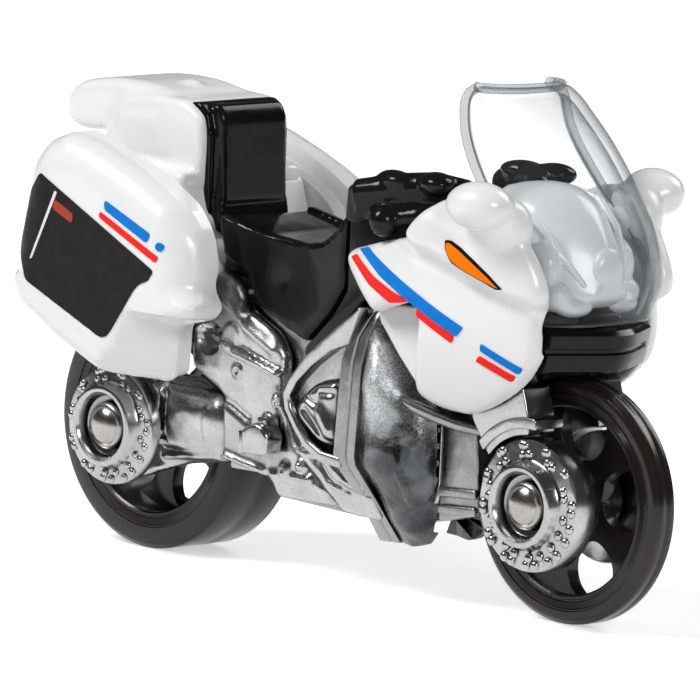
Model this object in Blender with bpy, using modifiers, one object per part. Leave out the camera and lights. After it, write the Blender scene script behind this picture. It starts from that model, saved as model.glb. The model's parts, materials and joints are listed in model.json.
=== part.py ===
"""Free-rolling police touring motorcycle, a die-cast toy about 66 mm long.

Metres, +Z up, +X towards the front wheel, -Y the rider's right hand side.
The origin is at the middle of the length, on the centre plane, on the ground.
"""

import math

import bmesh
import bpy
from mathutils import Matrix, Vector

MM = 0.001  # every size below is in millimetres

# ---------------------------------------------------------------- driving sizes
WHEELBASE = 45.4
DRAWN_WHEELBASE = 45.4  # the wheelbase that the outlines below are drawn on
FIT = 0.25  # gap between pieces that touch or are let into each other

FRONT_TYRE_R = 10.0
FRONT_TYRE_W = 2.5
REAR_TYRE_R = 10.7
REAR_TYRE_W = 7.2
TYRE_SHOULDER = 0.3  # chamfer between tread and side wall
RIM_R = 7.7  # inner edge of the tyre's side wall
RIM_DISH = 0.3  # the rim's face lies this far inside the side wall
WINDOW_OUTER_R = 7.5
WINDOW_INNER_R = 3.7
WINDOW_COUNT = 5
WINDOW_SWEEP = 44.0  # degrees taken by one window
WINDOW_TURN = -65.0  # degrees from +X to the middle of the first window
WEB_T = 1.3  # thickness of the spokes
HUB_R = 2.6
TURN_CLEARANCE = 0.3  # bore of a turning wheel over its pin, on the radius

PIN_R = 0.9
RIVET_HEAD_R = 2.0
RIVET_HEAD_H = 1.0

CUP_OUTER_R = 3.4  # ring round each rivet head
CUP_INNER_R = 2.8
CUP_FLOOR_R = 2.4
CUP_DEPTH = 1.15

FRONT_DISC_R = 5.4
FRONT_DISC_IN = 3.35  # distance of the disc's inner face from the centre plane
FRONT_DISC_T = 2.3
FRONT_CUP_H = 1.1  # the ring stands this far out of the disc
REAR_DISC_R = 4.95
REAR_DISC_T = 1.2
REAR_CUP_H = 1.15

ARM_IN = 4.1  # swing arm, inner and outer faces
ARM_OUT = 6.8
BLOCK_HALF = 4.9  # engine block, half its width
BLOCK_FLOOR = 8.6
BELLY_HALF = 3.4
SIDE_OUT = 7.1  # outer face of the side castings
HEAD_OUT = 9.0  # outer face of the cylinder heads
FORK_IN = 2.6
FORK_OUT = 5.8

PANNIER_OUT = 13.1  # outer face of the panniers
PANNIER_IN = 7.45
TAIL_HALF = PANNIER_IN - FIT
FAIRING_OUT = 9.6  # widest point of the side fairing
FAIRING_T = 0.8
SCREEN_T = 0.8
BOW = 2.3  # squareness of the screen in plan, 2 is an ellipse
MIRROR_OUT = 12.4
SEAT_HALF = 5.8
BACKREST_HALF = 3.9
BAR_R = 1.45  # handlebar, thickness of the grips
BAR_Z = 34.6  # height of its middle
CASE_HALF = 5.5
CASE_FLOOR = 31.6
LID_HALF = 4.3
TYRE_ROOM = 0.5  # free height between a tyre and what arches over it
GUARD_T = 0.2  # front mudguard over the top of its arch
BEAK_TOP = 24.3

# ---------------------------------------------------------------- stations
LENGTH = FRONT_TYRE_R + WHEELBASE + REAR_TYRE_R
FRONT_X = LENGTH / 2 - FRONT_TYRE_R
REAR_X = FRONT_X - WHEELBASE
MID_X = (FRONT_X + REAR_X) / 2
STRETCH = WHEELBASE / DRAWN_WHEELBASE
TYRE_TOP = 2 * FRONT_TYRE_R
FRONT_Z = FRONT_TYRE_R
REAR_Z = REAR_TYRE_R
REAR_DISC_IN = ARM_OUT + FIT
FRONT_DISC_OUT = FRONT_DISC_IN + FRONT_DISC_T
REAR_DISC_OUT = REAR_DISC_IN + REAR_DISC_T
BLOCK_FRONT = FRONT_X - FRONT_TYRE_R - TYRE_ROOM  # front of the block, behind the front tyre
TURN_SEGMENTS = 32
RIGHT, LEFT = -1, 1
SIDES = (("right", RIGHT), ("left", LEFT))

# ---------------------------------------------------------------- scene
for old in list(bpy.data.objects):
    bpy.data.objects.remove(old, do_unlink=True)
PARTS = bpy.data.collections.new("police_motorcycle_toy")
CUTTERS = bpy.data.collections.new("cutters")
bpy.context.scene.collection.children.link(PARTS)
bpy.context.scene.collection.children.link(CUTTERS)


def material(name, colour, metallic, roughness, alpha=1.0):
    mat = bpy.data.materials.new(name)
    mat.use_nodes = True
    shader = mat.node_tree.nodes["Principled BSDF"]
    shader.inputs["Base Color"].default_value = (*colour, 1.0)
    shader.inputs["Metallic"].default_value = metallic
    shader.inputs["Roughness"].default_value = roughness
    shader.inputs["Alpha"].default_value = alpha
    mat.diffuse_color = (*colour, alpha)
    return mat


ZINC = material("bare_zinc", (0.62, 0.64, 0.65), 1.0, 0.28)
RIVET = material("rivet_steel", (0.50, 0.50, 0.49), 1.0, 0.35)
BLACK = material("black_plastic", (0.012, 0.012, 0.013), 0.0, 0.22)
WHITE = material("white_plastic", (0.86, 0.87, 0.88), 0.0, 0.25)
CLEAR = material("clear_smoke", (0.45, 0.48, 0.50), 0.0, 0.08, 0.4)


# ---------------------------------------------------------------- tools
def add(name, mesh, mat, collection=PARTS):
    obj = bpy.data.objects.new(name, mesh)
    collection.objects.link(obj)
    if mat:
        mesh.materials.append(mat)
    if collection is CUTTERS:
        obj.hide_render = True
        obj.display_type = "WIRE"
    return obj


def smooth(obj, angle=35.0):
    obj.data.shade_smooth()
    obj.data.set_sharp_from_angle(angle=math.radians(angle))


def arc(centre, radius, start, end, count):
    """Points along an arc in the XZ plane, angles in degrees from +X to +Z."""
    turn = [math.radians(start + (end - start) * i / count) for i in range(count + 1)]
    return [(centre[0] + radius * math.cos(a), centre[1] + radius * math.sin(a)) for a in turn]


def rounded(points, radius, steps=2):
    """The closed outline with every corner rounded to at most the radius."""
    result = []
    for i, (x, z) in enumerate(points):
        here = Vector((x, z))
        back = Vector(points[i - 1]) - here
        ahead = Vector(points[(i + 1) % len(points)]) - here
        reach = min(radius, 0.45 * back.length, 0.45 * ahead.length)
        start = here + back.normalized() * reach
        end = here + ahead.normalized() * reach
        for k in range(steps + 1):
            t = k / steps
            result.append(tuple((1 - t) ** 2 * start + 2 * t * (1 - t) * here + t * t * end))
    return result


def slab(name, outline, near, far, mat, collection=PARTS, bevel=0.0):
    """A flat outline in the XZ plane, given thickness along Y from near to far."""
    curve = bpy.data.curves.new(name, "CURVE")
    curve.dimensions = "2D"
    curve.fill_mode = "BOTH"
    curve.extrude = abs(far - near) / 2 * MM
    line = curve.splines.new("POLY")
    line.points.add(len(outline) - 1)
    for point, (x, z) in zip(line.points, outline):
        point.co = (x * MM, z * MM, 0, 1)
    line.use_cyclic_u = True
    flat = bpy.data.objects.new(name + "_outline", curve)
    bpy.context.scene.collection.objects.link(flat)
    bpy.context.view_layer.update()
    depsgraph = bpy.context.evaluated_depsgraph_get()
    mesh = bpy.data.meshes.new_from_object(flat.evaluated_get(depsgraph))
    bpy.data.objects.remove(flat, do_unlink=True)
    bpy.data.curves.remove(curve)
    mesh.name = name
    mesh.materials.clear()
    work = bmesh.new()
    work.from_mesh(mesh)
    bmesh.ops.remove_doubles(work, verts=work.verts, dist=0.002 * MM)
    bmesh.ops.dissolve_limit(
        work, angle_limit=math.radians(0.5), verts=work.verts, edges=work.edges
    )
    stand = Matrix.Rotation(math.radians(90), 4, "X")
    bmesh.ops.transform(work, matrix=stand, verts=work.verts)
    shift = Vector((0, (near + far) / 2 * MM, 0))
    bmesh.ops.translate(work, vec=shift, verts=work.verts)
    bmesh.ops.recalc_face_normals(work, faces=work.faces)
    work.to_mesh(mesh)
    work.free()
    obj = add(name, mesh, mat, collection)
    if bevel:
        edge = obj.modifiers.new("edges", "BEVEL")
        edge.width = bevel * MM
        edge.segments = 1
        edge.limit_method = "ANGLE"
        edge.angle_limit = math.radians(50)
    smooth(obj)
    return obj


def turned(name, profile, mat, centre, side=LEFT, collection=PARTS, closed=True):
    """A turned piece: profile of (radius, distance out along Y), spun about Y."""
    mesh = bpy.data.meshes.new(name)
    verts = [(r * MM, 0, y * MM) for r, y in profile]
    edges = [(i, i + 1) for i in range(len(verts) - 1)]
    if closed:
        edges.append((len(verts) - 1, 0))
    mesh.from_pydata(verts, edges, [])
    obj = add(name, mesh, mat, collection)
    screw = obj.modifiers.new("turn", "SCREW")
    screw.steps = TURN_SEGMENTS
    screw.render_steps = TURN_SEGMENTS
    screw.use_merge_vertices = True
    screw.merge_threshold = 0.00001
    obj.rotation_euler = (math.radians(-90 * side), 0, 0)
    obj.location = tuple(c * MM for c in centre)
    return obj


def loft(name, rings, mat, collection=PARTS, levels=0, crease=0.0):
    """Skin between sections that each have the same number of points."""
    work = bmesh.new()
    loops = [[work.verts.new(Vector(p) * MM) for p in ring] for ring in rings]
    for near, far in zip(loops, loops[1:]):
        for i in range(len(near)):
            j = (i + 1) % len(near)
            work.faces.new((near[i], near[j], far[j], far[i]))
    caps = [work.faces.new(loops[0]), work.faces.new(loops[-1])]
    bmesh.ops.recalc_face_normals(work, faces=work.faces)
    if crease:
        layer = work.edges.layers.float.new("crease_edge")
        for cap in caps:
            for edge in cap.edges:
                edge[layer] = crease
    mesh = bpy.data.meshes.new(name)
    work.to_mesh(mesh)
    work.free()
    obj = add(name, mesh, mat, collection)
    if levels:
        soft = obj.modifiers.new("soft", "SUBSURF")
        soft.levels = levels
        soft.render_levels = levels
    smooth(obj, 40)
    return obj


def shield(name, outline, centre, surface, thickness, mat, side, rings=3):
    """A curved panel: the outline filled in rings, laid on a surface, made solid."""
    work = bmesh.new()
    hub = work.verts.new(Vector((centre[0], side * surface(*centre), centre[1])) * MM)
    loops = []
    for k in range(1, rings + 1):
        t = k / rings
        loop = []
        for x, z in outline:
            x, z = centre[0] + (x - centre[0]) * t, centre[1] + (z - centre[1]) * t
            loop.append(work.verts.new(Vector((x, side * surface(x, z), z)) * MM))
        loops.append(loop)
    count = len(outline)
    for i in range(count):
        j = (i + 1) % count
        work.faces.new((hub, loops[0][i], loops[0][j]))
        for near, far in zip(loops, loops[1:]):
            work.faces.new((near[i], far[i], far[j], near[j]))
    bmesh.ops.recalc_face_normals(work, faces=work.faces)
    if sum(face.normal.y * face.calc_area() for face in work.faces) * side < 0:
        bmesh.ops.reverse_faces(work, faces=work.faces)
    mesh = bpy.data.meshes.new(name)
    work.to_mesh(mesh)
    work.free()
    obj = add(name, mesh, mat)
    wall = obj.modifiers.new("wall", "SOLIDIFY")
    wall.thickness = thickness * MM
    wall.offset = -1
    smooth(obj, 50)
    return obj


def cut(obj, cutter, operation="DIFFERENCE"):
    change = obj.modifiers.new(cutter.name, "BOOLEAN")
    change.operation = operation
    change.object = cutter
    change.solver = "EXACT"


def at(anchor, points):
    """Outline points given from an anchor station along the length."""
    return [(anchor + x, z) for x, z in points]


def fore(x):
    """Place of a point drawn x ahead of the middle between the axles."""
    return MID_X + x * STRETCH


def drawn(points):
    return [(fore(x), z) for x, z in points]


# ---------------------------------------------------------------- wheels
def wheel(name, x, radius, width, hub_half):
    half = width / 2
    face = half - RIM_DISH
    upper = [
        (PIN_R + TURN_CLEARANCE, hub_half),
        (HUB_R, hub_half),
        (HUB_R, WEB_T / 2),
        (WINDOW_OUTER_R, WEB_T / 2),
        (WINDOW_OUTER_R + 0.1, face),
        (RIM_R, face),
        (RIM_R + 0.3, half),
        (radius - TYRE_SHOULDER, half),
        (radius, half - TYRE_SHOULDER),
    ]
    lower = [(r, -y) for r, y in reversed(upper)]
    obj = turned(name, upper + lower, BLACK, (x, 0, radius))
    for i in range(WINDOW_COUNT):
        middle = WINDOW_TURN + 360 / WINDOW_COUNT * i
        start, end = middle - WINDOW_SWEEP / 2, middle + WINDOW_SWEEP / 2
        shape = arc((x, radius), WINDOW_OUTER_R, start, end, 6)
        shape += arc((x, radius), WINDOW_INNER_R, end - 6, start + 6, 4)
        cutter = slab(f"{name}_window_{i + 1}", rounded(shape, 0.5, 2), -half, half, None, CUTTERS)
        cut(obj, cutter)


def axle(name, centre, head_seat):
    """A pin through the wheel, with a domed rivet head in the cup at each end."""
    dome = [
        (RIVET_HEAD_R * math.cos(a), head_seat + RIVET_HEAD_H * (0.35 + 0.65 * math.sin(a)))
        for a in (math.radians(d) for d in (0, 30, 60, 90))
    ]
    dome[-1] = (0.0, dome[-1][1])
    upper = list(reversed(dome)) + [(RIVET_HEAD_R, head_seat), (PIN_R, head_seat)]
    lower = [(r, -y) for r, y in reversed(upper)]
    turned(name, upper + lower, RIVET, centre, closed=False)


def hub_cup(name, x, z, side, disc_r, disc_in, disc_out, cup_out):
    """Brake disc with the ring that the rivet head sits in."""
    floor = cup_out - CUP_DEPTH
    bore = PIN_R + FIT
    profile = [
        (bore, floor),
        (CUP_FLOOR_R, floor),
        (CUP_INNER_R, cup_out),
        (CUP_OUTER_R, cup_out),
        (CUP_OUTER_R + 0.35, disc_out),
        (disc_r - 0.2, disc_out),
        (disc_r, disc_out - 0.2),
        (disc_r, disc_in),
        (bore, disc_in),
    ]
    turned(name, profile, ZINC, (x, 0, z), side)
    return floor


def running_gear():
    front_hub_half = FRONT_DISC_IN - TURN_CLEARANCE
    rear_hub_half = ARM_IN - TURN_CLEARANCE
    wheel("front_wheel", FRONT_X, FRONT_TYRE_R, FRONT_TYRE_W, front_hub_half)
    wheel("rear_wheel", REAR_X, REAR_TYRE_R, REAR_TYRE_W, rear_hub_half)
    for label, side in SIDES:
        front_floor = hub_cup(
            f"front_disc_{label}", FRONT_X, FRONT_Z, side,
            FRONT_DISC_R, FRONT_DISC_IN, FRONT_DISC_OUT, FRONT_DISC_OUT + FRONT_CUP_H,
        )
        rear_floor = hub_cup(
            f"rear_disc_{label}", REAR_X, REAR_Z, side,
            REAR_DISC_R, REAR_DISC_IN, REAR_DISC_OUT, REAR_DISC_OUT + REAR_CUP_H,
        )
    axle("front_axle", (FRONT_X, 0, FRONT_Z), front_floor + FIT)
    axle("rear_axle", (REAR_X, 0, REAR_Z), rear_floor + FIT)


# ---------------------------------------------------------------- zinc castings
def engine_block():
    """Centre casting: crankcase and the frame up to the seat and the tank."""
    rear = arc((REAR_X, REAR_Z), REAR_TYRE_R + TYRE_ROOM, -12, 62, 8)
    top = drawn([(-13.4, 22.4), (-5.0, 22.4), (3.0, 23.2), (11.4, 22.4)])
    front = [(BLOCK_FRONT, 19.0), (BLOCK_FRONT, BLOCK_FLOOR)]
    slab("engine_block", rounded(rear + top + front, 0.4, 2), -BLOCK_HALF, BLOCK_HALF, ZINC)


def belly():
    """Keel of the casting, narrower than the crankcase."""
    high = BLOCK_FLOOR - FIT
    outline = drawn([(-7.8, high), (-7.8, 6.4), (2.0, 6.0), (9.0, 6.4)])
    outline += [(BLOCK_FRONT, 7.4), (BLOCK_FRONT, high)]
    slab("belly", rounded(outline, 0.5, 3), -BELLY_HALF, BELLY_HALF, ZINC, bevel=0.3)


def front_frame(label, side):
    """Plate that carries the casting forward beside the front tyre."""
    rear = BLOCK_FRONT + FIT
    outline = [(rear, 15.6), (rear + 3.4, 15.2), (rear + 4.0, 8.2), (rear, 7.4)]
    near = FRONT_TYRE_W / 2 + 0.6
    slab(f"front_frame_{label}", rounded(outline, 0.4), side * near, side * 4.6, ZINC, bevel=0.25)


def side_casting(label, side):
    """Gearbox side with the frame rail that runs down from under the seat."""
    outline = drawn([
        (-14.6, 21.2), (-13.2, 22.1), (-12.6, 23.3), (-9.6, 21.9), (-4.6, 18.6), (-4.8, 15.4),
        (-3.4, 12.0), (0.0, 9.6), (1.5, 7.0), (-5.6, 6.9), (-6.0, 8.4), (-11.4, 9.2),
        (-11.8, 14.6), (-15.4, 16.3),
    ])
    near = side * (BLOCK_HALF + FIT)
    slab(f"side_casting_{label}", rounded(outline, 0.8), near, side * SIDE_OUT, ZINC, bevel=0.35)


def footrest(label, side):
    outline = drawn([(-8.6, 11.8), (-5.4, 12.6), (-5.2, 10.2), (-8.4, 9.6)])
    near = side * (SIDE_OUT + FIT)
    slab(f"footrest_{label}", rounded(outline, 0.4), near, near + side * 1.6, ZINC, bevel=0.2)


def swing_arm(label, side):
    hub = arc((REAR_X, REAR_Z), 4.5, 55, 300, 18)
    arm = drawn([(-16.7, 8.0), (-12.5, 8.7), (-12.5, 14.2), (-15.3, 15.4), (-19.3, 15.3)])
    slab(f"swing_arm_{label}", rounded(hub + arm, 0.3, 2), side * ARM_IN, side * ARM_OUT, ZINC)
    bore = turned(
        f"swing_arm_{label}_bore",
        [(0.0, ARM_OUT + 1), (PIN_R + FIT, ARM_OUT + 1), (PIN_R + FIT, ARM_IN - 1), (0.0, ARM_IN - 1)],
        None, (REAR_X, 0, REAR_Z), side, CUTTERS, closed=False,
    )
    cut(bpy.data.objects[f"swing_arm_{label}"], bore)


def cylinder(label, side):
    """Cylinder head that shows through the loop of the engine guard."""
    outline = drawn([(-2.0, 16.2), (1.0, 18.6), (3.0, 18.0), (3.0, 12.2), (0.5, 12.0), (-1.8, 14.0)])
    near = side * (BLOCK_HALF + FIT)
    slab(f"cylinder_{label}", rounded(outline, 0.9), near, side * HEAD_OUT, ZINC, bevel=0.4)


def engine_guard(label, side):
    """Loop round the cylinder head, and the scoop that flares forward from it."""
    outer = drawn([
        (3.4, 23.4), (-1.6, 18.8), (-3.2, 15.9), (-2.3, 13.1), (0.4, 10.9), (3.6, 10.8),
    ])
    inner = drawn([(3.4, 21.0), (-0.4, 18.6), (-2.3, 15.8), (-1.6, 13.4), (0.8, 11.8), (3.6, 11.6)])
    rings = []
    for (xo, zo), (xi, zi) in zip(outer, inner):
        rings.append([
            (xo, side * 7.6, zo), (xo, side * 8.8, zo), (xi, side * 8.8, zi), (xi, side * 7.6, zi),
        ])
    loft(f"guard_loop_{label}", rings, ZINC)


def cowl(label, side):
    """Lower cowl: sections in plan, from under the fairing down to the tip."""
    crank, keel = BLOCK_HALF + FIT, BELLY_HALF + FIT
    stations = [
        # height, drop to the front, inner y, rear x, crease x, crease y, front x, front y
        (23.4, 5.6, crank, 3.9, 5.0, 7.4, 10.6, 5.9),
        (16.4, 0.8, crank, 3.9, 5.5, 8.6, 12.0, 5.6),
        (11.6, 0.0, crank, 4.2, 6.1, 8.9, 12.0, 5.65),
        (BLOCK_FLOOR - 0.1, 0.0, crank, 4.5, 6.4, 7.4, 11.6, 5.65),
        (BLOCK_FLOOR - 0.1 - FIT, 0.0, keel, 4.5, 6.5, 7.2, 11.5, 5.0),
        (5.8, 0.0, keel, 4.9, 6.9, 5.2, 10.0, 4.2),
        (4.4, 0.0, keel - 0.8, 5.2, 7.3, 3.9, 9.0, 3.4),
    ]
    rings = []
    for z, drop, inner, rear, crease, out, front, front_y in stations:
        rings.append([
            (fore(rear), side * inner, z),
            (fore(rear), side * (out - 0.3), z),
            (fore(crease), side * out, z - 0.12 * drop),
            (fore(front), side * front_y, z - drop),
            (fore(front - 0.3), side * inner, z - drop),
        ])
    loft(f"cowl_{label}", rings, ZINC)


def fork(label, side):
    """Fork leg from under the fairing down on to the brake disc."""
    seat = FRONT_DISC_R + FIT
    foot = arc((FRONT_X, FRONT_Z), seat, 142, 92, 6)
    outline = foot + at(FRONT_X, [
        (-0.3, 17.2), (-1.0, 19.4), (-2.6, 20.4), (-3.2, 22.4), (-7.6, 22.4), (-6.4, 16.2),
    ])
    slab(f"fork_{label}", rounded(outline, 0.3, 2), side * FORK_IN, side * FORK_OUT, ZINC, bevel=0.3)


# ---------------------------------------------------------------- bodywork
def pannier(label, side):
    """Side case: side outlines from the inner wall out to the flat outer face."""
    ridge = [
        (-30.0, 20.9), (-26.0, 18.2), (-20.6, 15.8), (-11.6, 16.2), (-11.2, 17.9), (-7.6, 21.8),
        (-8.6, 23.9), (-8.0, 26.0), (-8.6, 28.0), (-11.5, 29.9), (-16.3, 32.1), (-22.0, 34.2),
        (-25.3, 35.2), (-27.8, 34.2), (-29.3, 32.2), (-30.6, 26.2), (-30.8, 23.6),
    ]
    face = [
        (-27.6, 22.3), (-24.0, 20.6), (-19.4, 18.8), (-17.4, 19.2), (-16.0, 21.4), (-14.6, 23.2),
        (-13.8, 23.9), (-12.8, 25.1), (-12.6, 26.3), (-14.2, 27.8), (-17.6, 29.6), (-22.2, 31.9),
        (-25.0, 33.2), (-26.5, 33.0), (-27.3, 31.6), (-28.7, 26.2), (-28.9, 24.4),
    ]
    valley = [(min(x, -14.0 + (x + 14.0) * 0.6), z - (1.6 if z > 27 else 0)) for x, z in ridge]
    wall = [(min(x, -14.0 + (x + 14.0) * 0.4), z) for x, z in valley]
    levels = (
        # outline, share of the face outline, distance from the centre plane
        (wall, 0.0, PANNIER_IN),
        (valley, 0.0, PANNIER_OUT - 4.4),
        (ridge, 0.0, PANNIER_OUT - 2.7),
        (ridge, 0.12, PANNIER_OUT - 1.5),
        (ridge, 0.45, PANNIER_OUT - 0.6),
        (ridge, 1.0, PANNIER_OUT),
    )
    rings = []
    for outline, share, out in levels:
        rings.append([
            (fore(x + (fx - x) * share), side * out, z + (fz - z) * share)
            for (x, z), (fx, fz) in zip(outline, face)
        ])
    loft(f"pannier_{label}", rings, WHITE, levels=1, crease=0.8)


def tail():
    """White body between the panniers, arched over the rear tyre."""
    arch = arc((REAR_X, REAR_Z), REAR_TYRE_R + 1.0, 128, 76, 8)
    outline = arch + drawn([
        (-17.4, 21.9), (-14.0, 22.7), (-13.4, 25.0), (-15.5, 27.6), (-16.7, CASE_FLOOR - FIT),
        (-28.6, CASE_FLOOR - FIT), (-30.6, 29.4),
    ])
    slab("tail", rounded(outline, 0.5, 2), -TAIL_HALF, TAIL_HALF, WHITE)


def top_case():
    """Radio case behind the seat, with a lid that overhangs it at the back."""
    lid_end = fore(-33.1)
    case = drawn([
        (-28.2, CASE_FLOOR), (-27.9, 36.6), (-26.2, 37.6), (-22.8, 38.1), (-18.8, 37.5),
        (-17.0, 35.9), (-16.6, CASE_FLOOR),
    ])
    lid = [(lid_end, 35.0), (lid_end, 37.2), (lid_end + 2.4, 38.5), (fore(-24.0), 38.5), (fore(-22.0), 35.0)]
    obj = slab("top_case", rounded(case, 1.0), -CASE_HALF, CASE_HALF, WHITE, bevel=0.5)
    lobe = slab("top_case_lid", rounded(lid, 1.2), -LID_HALF, LID_HALF, None, CUTTERS, bevel=0.6)
    cut(obj, lobe, "UNION")


def saddle_skirts(name):
    """Space for the engine block between the skirts of a piece that straddles it."""
    half = BLOCK_HALF + FIT
    outline = drawn([(-20, 15), (14, 15), (14, 23.5), (3, 23.5), (-5, 22.7), (-20, 22.7)])
    return slab(name, outline, -half, half, None, CUTTERS)


def seat():
    outline = drawn([
        (-13.6, 29.4), (-8.6, 28.4), (-3.8, 28.0), (-1.8, 28.3), (0.0, 29.6), (1.3, 31.2),
        (1.3, 24.8), (-0.2, 22.6), (-3.0, 20.0), (-6.9, 20.9), (-10.0, 23.6), (-13.0, 25.3),
    ])
    obj = slab("seat", rounded(outline, 0.5), -SEAT_HALF, SEAT_HALF, BLACK, bevel=0.4)
    cut(obj, saddle_skirts("seat_clearance"))


def backrest():
    outline = drawn([
        (-14.9, 29.9), (-15.3, 37.2), (-16.4, 37.9), (-18.3, 38.2), (-18.3, 37.85), (-16.6, 36.0),
        (-16.2, 31.0), (-15.2, 27.9), (-13.9, 29.75),
    ])
    slab("backrest", rounded(outline, 0.3), -BACKREST_HALF, BACKREST_HALF, BLACK)


def tank():
    """Tank and console between the seat and the screen, with a narrow side skirt."""
    bar_seat = BAR_Z - BAR_R - FIT
    outline = drawn([
        (1.6, 31.0), (4.0, 31.2), (9.6, 31.6), (11.2, bar_seat), (14.2, bar_seat), (14.2, 24.4), (3.4, 24.2),
        (1.2, 21.9), (-3.0, 18.8), (-2.9, 19.6), (0.1, 22.5), (1.6, 24.7),
    ])
    obj = slab("tank", rounded(outline, 0.3), -SEAT_HALF + 0.2, SEAT_HALF - 0.2, BLACK)
    cut(obj, saddle_skirts("tank_clearance"))


def handlebar():
    curve = bpy.data.curves.new("handlebar", "CURVE")
    curve.dimensions = "3D"
    curve.bevel_depth = BAR_R * MM
    curve.bevel_resolution = 3
    curve.use_fill_caps = True
    line = curve.splines.new("POLY")
    half_route = [
        (5.0, -8.5, BAR_Z - 2.2), (7.8, -7.9, BAR_Z - 1.3), (10.6, -6.6, BAR_Z - 0.4),
        (12.6, -4.4, BAR_Z), (13.4, -1.6, BAR_Z),
    ]
    route = half_route + [(x, -y, z) for x, y, z in reversed(half_route)]
    line.points.add(len(route) - 1)
    for point, (x, y, z) in zip(line.points, route):
        point.co = (fore(x) * MM, y * MM, z * MM, 1)
    obj = bpy.data.objects.new("handlebar", curve)
    curve.materials.append(BLACK)
    PARTS.objects.link(obj)


def fairing_surface(x, z):
    """How far out the side fairing bulges at a point of its side outline."""
    across = (x - fore(13.0)) / (12.0 * STRETCH)
    up = (z - 25.5) / 9.0
    return FAIRING_OUT - 2.3 * across * across - (1.2 if up > 0 else 2.2) * up * up


def fairing(label, side):
    outline = drawn([
        (3.2, 27.6), (5.6, 29.2), (10.6, 30.9), (11.6, 32.6), (15.4, 34.0), (19.6, 34.6),
        (22.6, 31.2), (25.4, 27.2), (24.2, 24.4), (24.8, 21.7), (23.2, 19.9),
        (17.2, 16.2), (12.1, 17.6), (11.2, 18.4), (11.8, 24.2), (6.4, 23.4), (3.5, 26.0),
    ])
    shield(
        f"fairing_{label}", rounded(outline, 0.9, 2), (fore(16.3), 26.0),
        fairing_surface, FAIRING_T, WHITE, side,
    )


def fairing_inner(label, side):
    """Recessed panel that fills the notch between the fairing and the cowl."""
    outline = drawn([(6.8, 23.2), (11.6, 18.4), (13.0, 18.4), (13.0, 24.6), (6.8, 24.4)])
    near = SEAT_HALF + FIT
    slab(f"fairing_inner_{label}", rounded(outline, 0.4, 2), side * near, side * 7.3, WHITE)


def mirror(label, side):
    work = bmesh.new()
    bmesh.ops.create_uvsphere(work, u_segments=20, v_segments=12, radius=MM)
    shape = Matrix.Translation(Vector((fore(19.2), side * (MIRROR_OUT - 2.0), 33.8)) * MM)
    shape @= Matrix.Rotation(math.radians(-6), 4, "Y") @ Matrix.Diagonal((3.7, 2.1, 2.3, 1.0))
    bmesh.ops.transform(work, matrix=shape, verts=work.verts)
    mesh = bpy.data.meshes.new(f"mirror_{label}")
    work.to_mesh(mesh)
    work.free()
    smooth(add(f"mirror_{label}", mesh, WHITE), 180)


def nose():
    """White headlamp fairing behind the clear screen."""
    stations = [
        # x, half width, bottom z, top z
        (15.0, 5.6, 25.0, 34.2),
        (18.5, 5.6, 25.0, 34.4),
        (21.5, 5.5, 25.0, 33.0),
        (23.4, 5.0, 25.0, 31.0),
        (24.7, 3.6, 25.2, 29.0),
    ]
    rings = []
    for x, half, low, high in stations:
        mid = (low + high) / 2
        rings.append([
            (fore(x), -half, low), (fore(x), half, low), (fore(x), half, mid),
            (fore(x), half * 0.7, high), (fore(x), -half * 0.7, high), (fore(x), -half, mid),
        ])
    loft("nose", rings, WHITE, levels=1)


def windscreen():
    """Clear screen, bowed across and swept back; its foot covers the headlamp."""
    rows = [
        # height, middle x, edge x, edge half width
        (24.6, 25.9, 23.6, 5.9),
        (28.0, 26.8, 23.9, 6.3),
        (31.5, 25.9, 21.4, 6.7),
        (35.0, 24.2, 17.6, 6.9),
        (39.0, 21.4, 14.5, 6.5),
        (42.8, 16.8, 14.3, 5.9),
    ]
    columns = 10
    work = bmesh.new()
    grid = []
    for z, middle, edge, half in rows:
        row = []
        for k in range(columns + 1):
            u = 2 * k / columns - 1
            x = edge + (middle - edge) * (1 - abs(u) ** BOW) ** (1 / BOW)
            row.append(work.verts.new(Vector((fore(x), u * half, z)) * MM))
        grid.append(row)
    for low, high in zip(grid, grid[1:]):
        for k in range(columns):
            work.faces.new((low[k], low[k + 1], high[k + 1], high[k]))
    bmesh.ops.recalc_face_normals(work, faces=work.faces)
    if sum(face.normal.x * face.calc_area() for face in work.faces) < 0:
        bmesh.ops.reverse_faces(work, faces=work.faces)
    mesh = bpy.data.meshes.new("windscreen")
    work.to_mesh(mesh)
    work.free()
    obj = add("windscreen", mesh, CLEAR)
    wall = obj.modifiers.new("wall", "SOLIDIFY")
    wall.thickness = SCREEN_T * MM
    wall.offset = -1
    smooth(obj, 60)


def beak():
    outline = [
        (23.4, -5.8), (25.4, -4.8), (26.6, -2.4), (26.6, 2.4),
        (25.4, 4.8), (23.4, 5.8), (21.0, 5.8), (21.0, -5.8),
    ]
    rings = []
    floor = TYRE_TOP + TYRE_ROOM + GUARD_T
    for z, grow in ((floor, -0.9), (floor + 0.9, 0.0), (BEAK_TOP, 0.4)):
        rings.append([
            (fore(x) + (grow if x > 21 else 0), y, z) for x, y in outline
        ])
    loft("beak", rings, BLACK)


def mudguard():
    inner = arc((FRONT_X, FRONT_Z), FRONT_TYRE_R + TYRE_ROOM, 125, 86, 6)
    roof = TYRE_TOP + TYRE_ROOM + GUARD_T
    outline = inner + at(FRONT_X, [(0.9, roof), (-7.0, roof)])
    slab("mudguard", outline, -(FORK_IN - FIT), FORK_IN - FIT, BLACK)


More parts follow.
